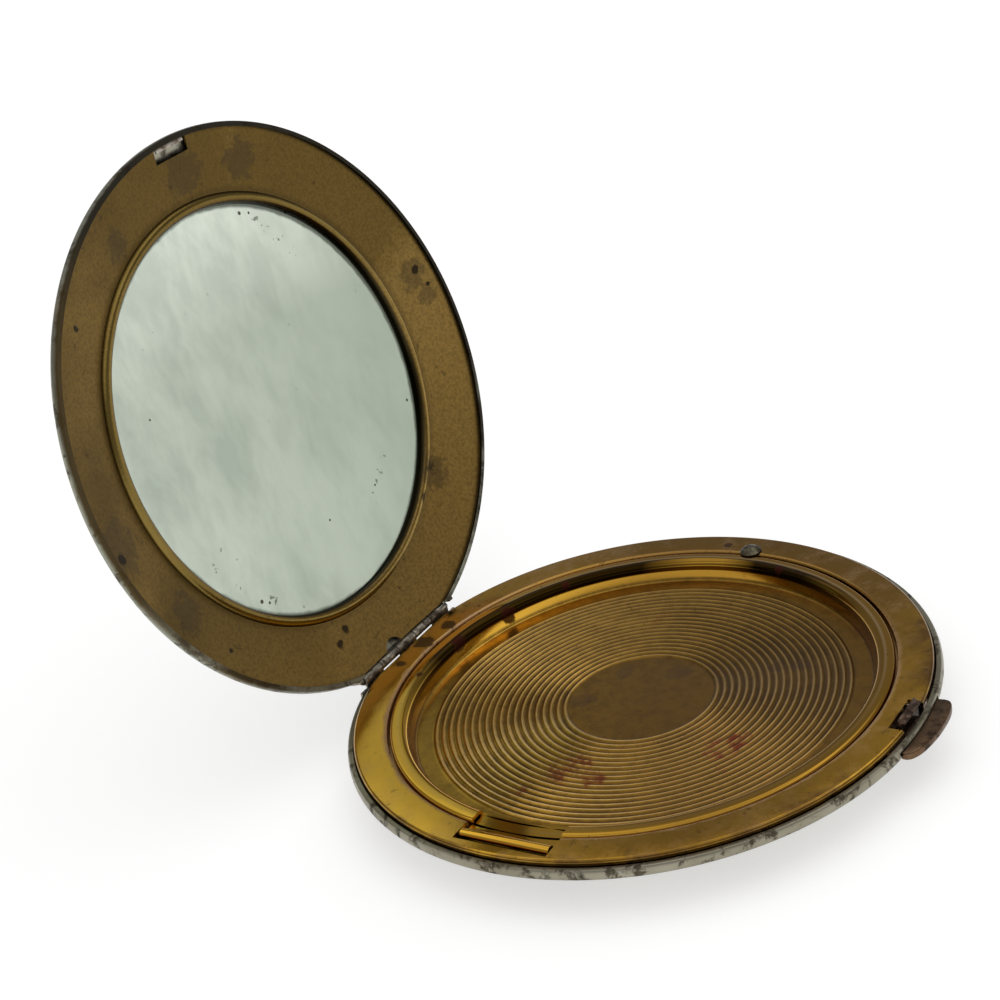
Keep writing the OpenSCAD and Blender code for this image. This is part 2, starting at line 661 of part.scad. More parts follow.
// Channel under the deck that guides the foot of the latch
module latch_guide() {
    inner = hook_w + 2 * guide_gap;
    outer = inner + 2 * guide_t;
    top = deck_under - guide_air;
    color("gray") {
        difference() {
            translate([latch_x - outer / 2, -guide_y, guide_z])
                cube([outer, guide_y - guide_wall_y + guide_t, top - guide_z]);
            translate([latch_x - inner / 2, -guide_y - over, guide_z + guide_t])
                cube([inner, guide_y - guide_wall_y + over, top - guide_z]);
        }
    }
}

// Bowed leaf spring behind the hook, drawn at its pressed length
module latch_spring() {
    color("gray") translate([latch_x, -guide_wall_y - guide_air / 2, foot_z + hook_t + guide_gap])
        intersection() {
            translate([0, spring_arc_r - spring_bow, 0]) difference() {
                cylinder(r = spring_arc_r, h = spring_h);
                translate([0, 0, -over]) cylinder(r = spring_arc_r - spring_t, h = spring_h + 2 * over);
            }
            translate([-spring_w / 2, -2 * spring_bow, 0]) cube([spring_w, 2 * spring_bow, spring_h]);
        }
}

// Lid shell, as deep as its own setting and open towards the base
module lid_shell() {
    color("silver") in_lid() translate([0, 0, lid_depth]) mirror([0, 0, 1]) shell(lid_depth);
}

// Dished gold frame with the bead that holds the mirror
module mirror_frame() {
    color("darkgoldenrod") in_lid() difference() {
        union() {
            rotate_extrude() polygon([[frame_r, frame_edge_h], [bead_foot_r, frame_foot_h],
                [bead_foot_r - frame_t, frame_foot_h], [bead_foot_r - frame_t, frame_foot_h + frame_t],
                [bead_foot_r, frame_foot_h + frame_t], [frame_r, frame_edge_h + frame_t]]);
            difference() {
                rotate_extrude() intersection() {
                    translate([frame_bead_r, frame_bead_h]) circle(r = frame_bead_round);
                    translate([frame_bead_r - frame_bead_round, frame_bead_h - frame_bead_round])
                        square([2 * frame_bead_round, frame_bead_round + glass_h - frame_bead_h - seat_gap]);
                }
                rotate_extrude() {
                    translate([frame_bead_r, frame_bead_h]) circle(r = frame_bead_round - frame_t);
                    translate([frame_bead_r - frame_bead_round + frame_t, frame_bead_h])
                        square([2 * (frame_bead_round - frame_t), frame_bead_round]);
                }
            }
        }
        translate([-frame_r, chord_y - guide_gap, 0]) cube([2 * frame_r, frame_r, lid_depth]);
        translate([latch_x - lid_notch_w / 2, -frame_r - over, 0])
            cube([lid_notch_w, frame_r + over - lid_notch_y, lid_depth]);
        translate([lift_notch_x, lift_notch_y, 0]) cylinder(r = lift_notch_r, h = lid_depth);
    }
}

// Round mirror glass behind the frame's bead
module mirror_glass() {
    color("lightblue") in_lid() translate([0, 0, glass_h]) cylinder(r = glass_r, h = glass_t);
}

// Card that presses the mirror against the frame
module mirror_card() {
    color("burlywood") in_lid() translate([0, 0, glass_h + glass_t + seat_gap]) cylinder(r = card_r, h = card_t);
}

// Bar inside the lid's wall that the hook's lip holds
module catch_bar() {
    color("silver") in_lid() translate([latch_x - hook_w / 2 - guide_gap, -catch_end_y, catch_h])
        cube([hook_w + 2 * guide_gap, catch_end_y - catch_y, catch_t]);
}

base_shell();
deck_plate();
powder_well();
base_hinge_leaf();
hinge_pin();
door_hinge_pin();
latch_guide();
latch_spring();
catch_spring();
powder_door();
catch_stud();
catch_slide();
latch_hook();
thumb_piece();
thumb_rivet();
lid_shell();
mirror_frame();
mirror_glass();
mirror_card();
lid_hinge_leaf();
catch_bar();
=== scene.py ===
"""Look of a round pocket compact: worn gold lacquer, silvered shells and an aged mirror.

Blender works in metres; the sizes below are in mm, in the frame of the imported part: Z up,
the main hinge at +Y. Pieces of the lid are made as in the shut lid (rim plane at z = 0,
its back upwards) and then swung open.
"""

import itertools
import math

import bmesh
import bpy
from mathutils import Matrix, Vector


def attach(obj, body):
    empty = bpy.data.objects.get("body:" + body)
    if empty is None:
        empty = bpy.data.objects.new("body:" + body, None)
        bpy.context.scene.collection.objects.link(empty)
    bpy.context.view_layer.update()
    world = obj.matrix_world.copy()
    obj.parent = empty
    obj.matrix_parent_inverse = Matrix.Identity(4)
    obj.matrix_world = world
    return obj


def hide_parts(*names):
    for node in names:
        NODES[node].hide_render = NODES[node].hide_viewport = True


bl_info = {
    "name": "Pocket compact",
    "version": (1, 0, 0),
    "blender": (4, 5, 0),
    "location": "3D View > Sidebar > Compact",
    "description": "Dresses the packed compact: finishes, detailed pieces, floor, lamp and camera",
    "category": "Object",
}

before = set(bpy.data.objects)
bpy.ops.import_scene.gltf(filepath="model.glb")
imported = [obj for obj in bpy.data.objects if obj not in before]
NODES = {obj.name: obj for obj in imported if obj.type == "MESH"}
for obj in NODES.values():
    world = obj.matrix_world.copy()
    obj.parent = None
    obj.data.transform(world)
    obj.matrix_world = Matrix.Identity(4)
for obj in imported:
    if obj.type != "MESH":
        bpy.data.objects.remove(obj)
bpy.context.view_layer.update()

MM = 0.001
# Shells
SHELL_R, SHELL_WALL, RIM_H, RIM_ROUND, RIM_EASE = 38.1, 0.45, 0.85, 1.57, 0.05
EDGE_ROUND, UNDER_SLOPE, CREASE_W, CREASE_H = 0.6, 24.0, 1.2, 0.12
BASE_H, LID_DEPTH, CHORD_Y = 6.45, 5.2, 36.2
# Main hinge
HINGE_Y, HINGE_Z, LID_Z, LID_OPEN = 36.9, 7.45, 6.5, 104.0
# Deck
DECK_Z, DECK_T, DECK_R, OPENING_R = 7.2, 0.4, 37.1, 32.67
LIP_DROP, SKIRT_DROP, DECK_CHORD_Y = 1.38, 1.92, 35.9
# Powder door
FLOOR_Z, DOOR_T, WALL_R, FILLET, DRAFT, DRAFT_H = 4.4, 0.4, 29.9, 0.35, 18.0, 1.45
TURN_R, TURN_ROUND, DOOR_R, RIM_EDGE, RIM_Z, FLANGE_H = 30.9, 1.0, 32.41, 0.5, 7.15, 1.2
DISC_R, RINGS_R, RING_COUNT, RING_STEPS, RING_H = 9.4, 27.2, 19, 10, 0.22
# Door hinge
AXIS_X, AXIS_Z, BARREL_R, BARREL_LEN, BARREL_Y, BARREL_GAP = 34.0, 6.65, 0.7, 12.2, -1.15, 0.3
PIN_BORE, NOTCH_X, EAR_LEN, EAR_INSET = 0.33, 35.6, 0.8, 0.02
# Tab of the door: its underside, how far the flat part reaches and how it rises to the barrel
TAB_Z, TAB_IN, TAB_CUT, TAB_UNDER_X = 6.055, 0.1, 1.4, -33.3
TAB_RISE = ((-32.2, 0.0), (-32.9, 0.02), (-33.2, 0.1), (-33.36, 0.2))
ROLL_START, ROLL_END = 4.0, 316.5
# Mirror frame and glass, as depths below the lid's rim
FRAME_R, EDGE_H, FOOT_R, FOOT_H, FRAME_T = 37.5, 0.55, 29.3, 2.9, 0.3
BEAD_R, BEAD_ROUND, BEAD_H = 28.45, 0.8, 3.1
GLASS_H, GLASS_T, GLASS_R, GLASS_EASE = 3.35, 0.95, 29.3, 0.12
FRAME_CHORD_Y, BAR_NOTCH_W, BAR_NOTCH_Y, LIFT_AT, LIFT_R = 36.1, 6.1, 35.3, (-1.9, 36.9), 1.9
# Stud
STUD_X, STUD_R, STUD_SIDE, STUD_DOME, STUD_EASE = 33.2, 1.5, 0.15, 0.65, 0.04
NECK_X, NECK_R, NECK_Z, NECK_EASE = 34.0, 0.4, 6.42, 0.03
# Latch
LATCH_X, SLOT_W, SLOT_Y, WINDOW_W, WINDOW_GAP, HOOK_Y = 0.8, 6.2, 35.05, 12.44, 0.12, 36.1
THUMB_Z, THUMB_T, THUMB_IN_R, THUMB_ENDS, THUMB_EASE = 5.0, 1.0, 37.75, (6.6, -5.0), 0.24
THUMB_LINE = (
    (-5.05, 38.2), (-4.6, 38.85), (-3.5, 39.45), (-1.8, 39.85), (0.3, 40.1),
    (2.5, 40.12), (4.4, 39.95), (5.8, 39.6), (6.55, 39.1), (6.72, 38.4),
)
# Radius of the ring along which a section is turned, how near the middle points are joined,
# how near each other points are welded (metres), and how far a cutter reaches past its piece
GUIDE_R, POLE_R, WELD, PAST = 100.0, 0.003, 1e-7, 1.0

# Marks as (x, y, z, size): on the deck, on the door, and on the lid's pieces as in the shut lid
DECK_GRIME = (
    (1.0, 34.4, 7.2, 1.6), (6.0, 33.6, 7.2, 1.2), (-4.5, 34.6, 7.2, 0.9), (34.2, 4.0, 7.2, 0.7),
)
DOOR_STAINS = (
    (-2.3, 7.6, 4.4, 1.9), (4.9, 5.1, 4.4, 1.6), (6.4, -2.2, 4.4, 1.8), (11.8, -16.9, 4.5, 1.6),
    (10.4, -14.0, 4.5, 1.1),
)
DOOR_RED = (
    (-16.8, 0.6, 4.5, 3.4), (-17.6, -2.8, 4.5, 1.9), (-8.0, -15.6, 4.5, 2.4),
    (-5.6, -16.8, 4.5, 1.8), (19.4, 23.8, 4.5, 1.4), (-22.0, 5.0, 4.5, 1.2),
)
DOOR_RUST = (
    (2.9, 29.6, 6.6, 1.5), (12.0, 27.6, 6.0, 1.3), (-6.0, 30.4, 6.6, 0.9), (20.0, 22.8, 6.6, 0.8),
    (27.5, 13.5, 6.4, 0.7), (30.0, -6.0, 6.6, 0.8),
)
# Broad patches of painted shade on the frame, as (x, y, z, size)
FRAME_SHADE_SPOTS = ((-2.0, -33.0, 1.7, 16.0), (24.0, -24.0, 1.7, 20.0), (-24.0, 22.0, 1.7, 17.0))
FRAME_SMUDGES = (
    (33.6, -4.6, 1.2, 2.6), (34.6, -1.2, 1.2, 1.8), (-13.1, -28.9, 1.7, 2.2),
    (21.4, 20.6, 1.7, 3.0), (2.0, -33.0, 1.7, 3.5), (12.0, -31.0, 1.7, 3.0),
    (-35.0, 2.0, 1.2, 4.0), (-30.0, 14.0, 1.4, 3.0),
)
FRAME_STAINS = (
    (29.4, -4.9, 1.7, 0.9), (34.3, -5.2, 1.2, 0.8), (35.4, -2.4, 1.0, 0.4), (21.4, 20.4, 1.7, 1.5),
    (17.3, 23.1, 1.9, 1.0), (20.4, 22.6, 1.7, 0.7), (-4.9, 30.2, 1.7, 0.7), (-7.2, 30.0, 1.7, 0.9),
    (-9.6, 31.0, 1.6, 0.8), (14.0, -26.7, 1.8, 0.6), (-18.7, -23.9, 1.8, 0.7),
    (-29.6, -12.7, 1.4, 0.6), (-35.6, 3.4, 0.9, 0.8), (-27.0, 21.4, 1.2, 0.5),
    (-25.6, -22.9, 1.2, 0.6),
)
# Marks on the glass as (x, y, size)
MIRROR_MARKS = (
    (9.4, -24.6, 0.3), (11.0, -24.0, 0.22), (17.4, -21.6, 0.3), (18.6, -20.7, 0.2),
    (-17.3, 19.8, 0.32), (-16.2, 20.6, 0.22), (23.5, 10.3, 0.25), (10.4, 17.2, 0.2),
    (-20.2, -8.3, 0.18), (-0.2, 17.0, 0.2),
)
MIRROR_CHAIN = (
    (11.6, -22.8, 0.9), (12.7, -21.2, 0.9), (14.0, -19.2, 1.0), (15.6, -16.6, 1.0),
    (14.0, 14.6, 0.9), (12.8, 15.9, 0.9), (11.5, 16.9, 0.9), (9.2, 18.6, 0.9),
    (-21.5, 11.9, 1.2), (-19.3, 16.1, 1.3), (-15.6, 20.4, 1.2), (23.9, -6.9, 0.9),
)

# Directions in the base's plane as (x, y): to the right in the picture, and away from the camera
ACROSS, ALONG = (0.53, -0.85), (0.8, 0.6)
# Camera fitted to the photograph: its place in mm and its three directions
CAMERA_AT, CAMERA_RIGHT = (-179.03, -125.42, 140.0), (0.52342, -0.82669, -0.20641)
CAMERA_UP, CAMERA_AHEAD = (0.47023, 0.07825, 0.87906), (0.71057, 0.55719, -0.42970)
# Studio, in metres: floor, lamp, and where the world's tones change (as the sine of the height)
FLOOR_REACH, FLOOR_TONE, FLOOR_GLOW = 6.0, 0.6, 0.55
LAMP_SIDE, LAMP_AT = 1.2, (0.15, -0.1, 1.1)
TONE_STEPS = (0.1, 0.24, 0.6, 0.72, 0.82, 0.92)

IN_LID = (
    Matrix.Translation((0, HINGE_Y * MM, HINGE_Z * MM))
    @ Matrix.Rotation(math.radians(-LID_OPEN), 4, "X")
    @ Matrix.Translation((0, -HINGE_Y * MM, (LID_Z - HINGE_Z) * MM))
)


# ---------- node tree helpers


class Tree:
    """Short words for building the node tree of a material or world."""

    def __init__(self, name, kind="materials"):
        self.owner = getattr(bpy.data, kind).new(name)
        self.owner.use_nodes = True
        self.nodes, self.links = self.owner.node_tree.nodes, self.owner.node_tree.links
        self.coordinates = self.node("TexCoord", {})
        self.place = self.coordinates["Object"]

    def feed(self, socket, value):
        """Links a socket, or sets it when value is a number, a vector or a colour."""
        if isinstance(value, bpy.types.NodeSocket):
            self.links.new(value, socket)
        else:
            socket.default_value = (*value, 1.0) if socket.type == "RGBA" else value

    def node(self, kind, inputs, **settings):
        """Adds a node and returns its outputs."""
        node = self.nodes.new("ShaderNode" + kind)
        for name, value in settings.items():
            setattr(node, name, value)
        for key, value in inputs.items():
            self.feed(node.inputs[key], value)
        return node.outputs

    def join(self, operation, total, *values):
        """Joins values two by two, from left to right."""
        for value in values:
            total = self.node("Math", {0: total, 1: value}, operation=operation)[0]
        return total

    def times(self, *values):
        return self.join("MULTIPLY", *values)

    def plus(self, *values):
        return self.join("ADD", *values)

    def minus(self, *values):
        return self.join("SUBTRACT", *values)

    def most(self, *values):
        return self.join("MAXIMUM", *values)

    def noise(self, scale, detail=4.0, rough=0.5, distortion=0.0, place=None):
        inputs = {"Vector": place or self.place, "Scale": scale, "Detail": detail,
                  "Roughness": rough, "Distortion": distortion}
        return self.node("TexNoise", inputs)["Fac"]

    def ramp(self, value, stops, interpolation="LINEAR"):
        """Grey ramp; each stop is (position, grey)."""
        colour = self.node("ValToRGB", {"Fac": value})["Color"]
        band = colour.node.color_ramp
        band.interpolation = interpolation
        band.elements.remove(band.elements[-1])
        for i, (position, grey) in enumerate(stops):
            stop = band.elements[0] if i == 0 else band.elements.new(position)
            stop.position = position
            stop.color = (grey, grey, grey, 1.0)
        return colour

    def cut(self, value, low, high):
        """Patches: 0 where value is under low, 1 where it is over high."""
        return self.ramp(value, ((low, 0.0), (high, 1.0)))

    def blend(self, factor, a, b):
        inputs = {"Factor": factor, "A": a, "B": b}
        return self.node("Mix", inputs, data_type="RGBA")["Result"]

    def tint(self, tone, mask, colour, strength):
        """Lays a colour over a tone where the mask is."""
        return self.blend(self.times(mask, strength), tone, colour)

    def span(self, value, low, high, bottom=0.0, top=1.0):
        """Goes from bottom to top while value goes from low to high."""
        inputs = {"Value": value, "From Min": low, "From Max": high,
                  "To Min": bottom, "To Max": top}
        return self.node("MapRange", inputs)["Result"]

    def rise(self, value, low, high, bottom=0.0, top=1.0):
        """A span whose limits low and high are in mm."""
        return self.span(value, low * MM, high * MM, bottom, top)

    def between(self, value, start, end):
        """1 between two limits, each given as where its slope begins and ends, in mm."""
        return self.times(self.rise(value, *start), self.rise(value, *end, 1.0, 0.0))

    def fray(self, value, reach, noise):
        """Moves a place by noise, by up to reach in mm."""
        return self.plus(value, self.times(noise, reach * MM))

    def lean(self, x, y, direction):
        """Place along a direction in the plane of x and y."""
        return self.plus(self.times(x, direction[0]), self.times(y, direction[1]))

    def stretch(self, scale=(1, 1, 1), turn=(0, 0, 0), shift=(0, 0, 0), source=None):
        inputs = {"Vector": source or self.place, "Scale": scale, "Rotation": turn,
                  "Location": shift}
        return self.node("Mapping", inputs)["Vector"]

    def parts(self, place=None):
        return tuple(self.node("SeparateXYZ", {"Vector": place or self.place}))

    def radius(self, x, y):
        """Distance from the middle, from the two sideways places."""
        square = self.plus(self.times(x, x), self.times(y, y))
        return self.node("Math", {0: square}, operation="SQRT")[0]

    def in_lid(self):
        """Object coordinates turned back to those of the shut lid."""
        back = IN_LID.inverted()
        return self.stretch(turn=back.to_euler(), shift=back.translation)

    def spots(self, marks, ragged, place=None):
        """Stains at marks (x, y, z, size) in mm; ragged frays their outline."""
        place = place or self.place
        fray = self.times(self.noise(650.0, 5.0, 0.7, 0.3, place), 2.0 * ragged)
        found = []
        for x, y, z, size in marks:
            ends = {0: place, 1: (x * MM, y * MM, z * MM)}
            gap = self.node("VectorMath", ends, operation="DISTANCE")["Value"]
            near = self.plus(self.join("DIVIDE", gap, size * MM), fray)
            found.append(self.span(near, 0.75 + ragged, 1.0 + ragged, 1.0, 0.0))
        return self.most(*found)

    def rays(self):
        """1 for rays from the camera, from gloss and through glass; 1 for the camera's only."""
        paths = self.node("LightPath", {})
        camera = paths["Is Camera Ray"]
        return self.most(camera, paths["Is Glossy Ray"], paths["Is Transmission Ray"]), camera

    def bump(self, *layers):
        """Stacks bump layers, each (height, strength, distance in mm)."""
        normal = None
        for height, strength, distance in layers:
            inputs = {"Height": height, "Strength": strength, "Distance": distance * MM}
            if normal is not None:
                inputs["Normal"] = normal
            normal = self.node("Bump", inputs)["Normal"]
        self.links.new(normal, self.nodes["Principled BSDF"].inputs["Normal"])

    def finish(self, colour, rough, metal=1.0, **rest):
        """Feeds the shader and returns the material."""
        inputs = {"Base_Color": colour, "Roughness": rough, "Metallic": metal, **rest}
        for name, value in inputs.items():
            self.feed(self.nodes["Principled BSDF"].inputs[name.replace("_", " ")], value)
        return self.owner


# ---------- finishes


def deck_lacquer(colours):
    """Gold lacquer of the deck: brown at its rounded edge, worn to pinkish metal in patches."""
    t = Tree("deck_gold_lacquer")
    x, y, _ = t.parts()
    radius = t.radius(x, y)
    cloud = t.noise(55.0, 5.0, 0.6)
    across = t.lean(x, y, ACROSS)
    # Painted light and shade: lighter gold on the left and at the front, the shaded deep gold
    # elsewhere.
    light = t.most(t.rise(across, -26, 2, 1.0, 0.0), t.rise(y, -24, -33, 0.0, 0.45))
    light = t.times(light, t.span(cloud, 0.3, 0.7, 0.75, 1.0))
    gold = t.blend(light, colours.shaded_gold, colours.gold)
    # Painted shade: darker towards the right and at the back-left near the hinge.
    back = t.times(t.rise(y, 14, 34, 0.0, 0.35), t.rise(x, -18, 2))
    far_shade = t.most(t.rise(x, 22, 36, 0.0, 0.4), back)
    gold = t.blend(far_shade, gold, (0.17, 0.085, 0.012))
    brown = t.cut(t.noise(62.0, 7.0, 0.7, 0.4, t.stretch(shift=(0.2, 0.0, 0.1))), 0.5, 0.6)
    brown = t.times(brown, t.rise(y, 8, -6), t.rise(radius, 34, 36.4, 0.25, 0.8))
    gold = t.blend(brown, gold, (0.2, 0.1, 0.03))
    lip = t.rise(t.fray(radius, -1.3, t.noise(330.0, 5.0, 0.65)),
                 OPENING_R - 0.5, OPENING_R + 0.1, 1.0, 0.0)
    patch = t.cut(t.noise(130.0, 8.0, 0.76, 0.3), 0.48, 0.6)
    worn = t.most(t.times(patch, t.rise(x, -12, 30, 0.2, 0.32)),
                  t.times(lip, t.rise(x, 8, 24, 0.85, 0.2)))
    tone = t.blend(worn, gold, colours.worn)
    edge = t.rise(t.fray(radius, 0.9, t.noise(260.0, 4.0, 0.6)), DECK_R, DECK_R + 0.5)
    tone = t.tint(tone, edge, (0.085, 0.045, 0.014), 0.85)
    speck = t.cut(t.noise(820.0, 3.0, 0.7), 0.6, 0.67)
    tone = t.tint(tone, speck, (0.05, 0.022, 0.01), t.span(worn, 0.0, 0.6, 0.25, 0.8))
    grime = t.spots(DECK_GRIME, 0.8)
    tone = t.tint(tone, grime, (0.035, 0.014, 0.007), 0.85)
    rough = t.most(t.span(worn, 0.0, 0.6, 0.15, 0.4), t.span(grime, 0.0, 1.0, 0.1, 0.5))
    t.bump((t.noise(70.0, 2.0, 0.4), 0.22, 0.5), (t.noise(900.0, 3.0, 0.6), 0.05, 0.03),
           (cloud, 0.05, 0.3))
    return t.finish(tone, rough)


def door_lacquer(colours):
    """Gold lacquer of the ringed door: painted light and shade, darker grooves, a painted black
    reflection on its wall, painted highlights on the rings, red wear on the rings.
    """
    t = Tree("door_gold_lacquer")
    x, y, z = t.parts()
    radius = t.radius(x, y)
    cloud = t.noise(60.0, 5.0, 0.6)
    across, along = t.lean(x, y, ACROSS), t.lean(x, y, ALONG)
    # Painted light and shade: lighter gold on the left, the shaded deep gold towards the right.
    light = t.times(t.rise(across, -22, 3, 1.0, 0.05), t.span(cloud, 0.3, 0.7, 0.75, 1.0))
    gold = t.blend(light, colours.shaded_gold, colours.gold)

    # Floor: painted shade, darker and browner towards the right and the back; brown on the disc
    # and round the rings
    floor = t.rise(z, FLOOR_Z + 0.35, FLOOR_Z + 0.6, 1.0, 0.0)
    ringed = t.between(radius, (DISC_R - 0.1, DISC_R + 0.1), (RINGS_R - 0.1, RINGS_R + 0.1))
    floor_shade = t.most(t.rise(across, -18, 2, 0.05, 0.6), t.rise(along, -2, 14, 0.0, 0.75))
    floor_shade = t.times(floor, floor_shade, t.rise(radius, RINGS_R, RINGS_R + 0.5, 1.0, 0.6))
    brown = t.blend(t.rise(along, -6, 14), (0.15, 0.08, 0.022), (0.22, 0.13, 0.034))
    tone = t.blend(floor_shade, gold, brown)
    disc = t.rise(radius, DISC_R - 0.1, DISC_R + 0.1, 0.5, 0.0)
    border = t.times(t.rise(radius, RINGS_R - 0.1, RINGS_R + 0.2, 0.0, 0.6), floor,
                     t.rise(along, 6, 20, 1.0, 0.0))
    tone = t.blend(t.most(disc, border), tone, (0.14, 0.072, 0.014))
    mottle = t.times(t.span(t.noise(520.0, 6.0, 0.75), 0.42, 0.62, 0.0, 0.45), floor)
    tone = t.blend(mottle, tone, (0.1, 0.055, 0.014))

    # Wall: a painted highlight along its turn; above the draft a painted black reflection, left
    # off where it glints and at the tab
    # Painted highlight: a pale line along the turn of the rim, stronger towards the right.
    pale = t.between(radius, (WALL_R + 1.05, WALL_R + 1.3), (WALL_R + 1.35, WALL_R + 1.6))
    tone = t.tint(tone, pale, (0.62, 0.44, 0.24), t.rise(x, 0, 20, 0.2, 0.8))
    glint = t.between(y, (-2, 3), (7, 14))
    # Painted reflection: black painted on the far side of the wall for the dark it mirrors; the
    # glint mask leaves it off where the wall catches light.
    wall = t.times(
        t.rise(z, FLOOR_Z + DRAFT_H - 0.15, FLOOR_Z + DRAFT_H + 0.1),
        t.rise(t.fray(radius, 0.5, t.noise(150.0, 4.0, 0.6)), WALL_R + 1.25, WALL_R + 1.5, 1, 0),
        t.rise(along, 3, 17, 0.2, 1.0),
        t.minus(1.0, t.times(glint, 0.95)),
        t.rise(x, -29.3, -28.8))
    tone = t.tint(tone, wall, (0.008, 0.004, 0.001), 0.97)

    # Rings: darker between them, painted highlights on their crests
    # Darker in the grooves between the rings.
    groove = t.rise(z, FLOOR_Z + 0.02, FLOOR_Z + 0.14, 1.0, 0.0)
    darker_grooves = t.times(groove, ringed, t.span(t.noise(90.0, 5.0, 0.6), 0.3, 0.7, 0.35, 0.9))
    tone = t.blend(darker_grooves, tone, (0.06, 0.034, 0.012))
    # Painted highlight: pale gold along the rings' crests, strongest on the left and the near
    # side.
    crest_highlight = t.times(t.rise(z, FLOOR_Z + 0.16, FLOOR_Z + 0.21), ringed, floor,
                    t.rise(across, -16, 0, 0.85, 0.35), t.rise(along, -2, 14, 1.0, 0.4))
    tone = t.blend(crest_highlight, tone, (0.8, 0.56, 0.26))

    # Stains, red wear, rust and specks
    tone = t.tint(tone, t.spots(DOOR_STAINS, 1.5), (0.09, 0.05, 0.035), 0.35)
    flecks = t.span(t.noise(420.0, 4.0, 0.7), 0.42, 0.6)
    scatter = t.cut(t.noise(210.0, 6.0, 0.72, 0.4, t.stretch(shift=(0.3, 0.1, 0.0))), 0.6, 0.68)
    red = t.most(t.times(t.spots(DOOR_RED, 0.85), flecks), t.times(scatter, 0.35))
    red = t.times(red, floor)
    tone = t.tint(tone, red, (0.16, 0.03, 0.018), 0.8)
    rust = t.spots(DOOR_RUST, 0.8)
    tone = t.tint(tone, rust, (0.05, 0.012, 0.007), 0.85)
    speck = t.cut(t.noise(1000.0, 3.0, 0.7), 0.66, 0.72)
    tone = t.tint(tone, speck, (0.05, 0.025, 0.01), 0.55)
    rough = t.most(t.times(floor, t.rise(across, -18, 4, 0.24, 0.36)),
                   t.span(t.most(red, rust), 0.0, 1.0, 0.1, 0.5))
    t.bump((t.noise(90.0, 2.0, 0.4), 0.12, 0.5), (t.noise(1400.0, 3.0, 0.6), 0.08, 0.03))
    return t.finish(tone, rough)


def frame_lacquer(colours):
    """Matt brown gold of the mirror's frame, with fine grain, dark stains and a glossier bead."""
    t = Tree("frame_matt_gold")
    place = t.in_lid()
    x, y, _ = t.parts(place)
    radius = t.radius(x, y)
    grain = t.noise(2400.0, 2.0, 0.6)
    cloud = t.noise(50.0, 5.0, 0.6)
    gold = t.blend(t.cut(cloud, 0.38, 0.62), colours.matt_gold, (0.1, 0.06, 0.014))
    # Painted light: the frame is painted lighter along a slant towards +x and +y.
    slant_light = t.rise(t.lean(x, y, (0.8, 0.45)), -34, 36)
    gold = t.blend(slant_light, gold, (0.3, 0.19, 0.055))
    # Painted shade: darker towards the top and in three broad patches.
    shade = t.times(t.rise(y, 0, -34, 0.0, 0.45), t.rise(x, 30, -10, 1.0, 0.3))
    shade = t.most(shade, t.times(t.spots(FRAME_SHADE_SPOTS, 0.15, place), 0.55))
    gold = t.blend(shade, gold, (0.075, 0.045, 0.008))
    # Painted light: lighter towards +y, near the hinge, and further along +x and +y together.
    bright = t.most(t.rise(y, 16, 34, 0.0, 0.5), t.rise(t.plus(x, y), 28, 44, 0.0, 0.6))
    gold = t.blend(bright, gold, (0.32, 0.195, 0.05))
    tone = t.blend(t.span(grain, 0.4, 0.66, 0.0, 0.4), gold, (0.06, 0.036, 0.012))

    # Bead: a painted highlight on top, painted shade inside and along its foot; the frame's rim is
    # dark too
    bead = t.rise(radius, FOOT_R + 0.1, FOOT_R - 0.25)
    # Painted highlight: a pale band along the bead's top.
    bead_highlight = t.times(bead, t.rise(radius, BEAD_R - 0.5, BEAD_R + 0.15),
                    t.span(cloud, 0.35, 0.65, 0.4, 1.0))
    tone = t.tint(tone, bead_highlight, (0.3, 0.22, 0.06), 0.6)
    # Painted shade: the bead's inner side painted nearly black.
    inner = t.rise(radius, BEAD_R - 0.35, BEAD_R - 0.65)
    tone = t.tint(tone, inner, (0.018, 0.016, 0.009), 0.92)
    # Painted shade: darker along the crease at the bead's foot.
    foot_shade = t.between(radius, (FOOT_R - 0.15, FOOT_R + 0.05), (FOOT_R + 0.15, FOOT_R + 0.9))
    tone = t.tint(tone, foot_shade, (0.05, 0.032, 0.012), 0.4)
    rim = t.rise(t.fray(radius, 0.8, cloud), FRAME_R - 0.1, FRAME_R + 0.6)
    tone = t.tint(tone, rim, (0.035, 0.025, 0.012), 0.75)

    tone = t.tint(tone, t.spots(FRAME_SMUDGES, 1.2, place), (0.05, 0.036, 0.02), 0.45)
    scatter = t.cut(t.noise(480.0, 6.0, 0.74, 0.5), 0.61, 0.68)
    dark = t.most(t.spots(FRAME_STAINS, 1.0, place), t.times(scatter, 0.7))
    tone = t.tint(tone, dark, (0.014, 0.011, 0.008), 0.88)
    t.bump((grain, 0.4, 0.03), (t.noise(80.0, 2.0), 0.08, 0.4), (dark, 0.2, 0.04))
    return t.finish(tone, t.span(bead, 0.0, 1.0, 0.42, 0.24))


def clouded_silver(t, silver, pale):
    """Silver with pale clouds and fine pits; returns its tone, the pits and the clouds."""
    pits = t.cut(t.noise(380.0, 6.0, 0.74, 0.3), 0.52, 0.6)
    cloud = t.noise(80.0, 4.0, 0.6)
    t.bump((pits, 0.3, 0.05), (t.noise(1500.0, 3.0), 0.12, 0.03))
    return t.blend(t.cut(cloud, 0.35, 0.65), silver, pale), pits, cloud


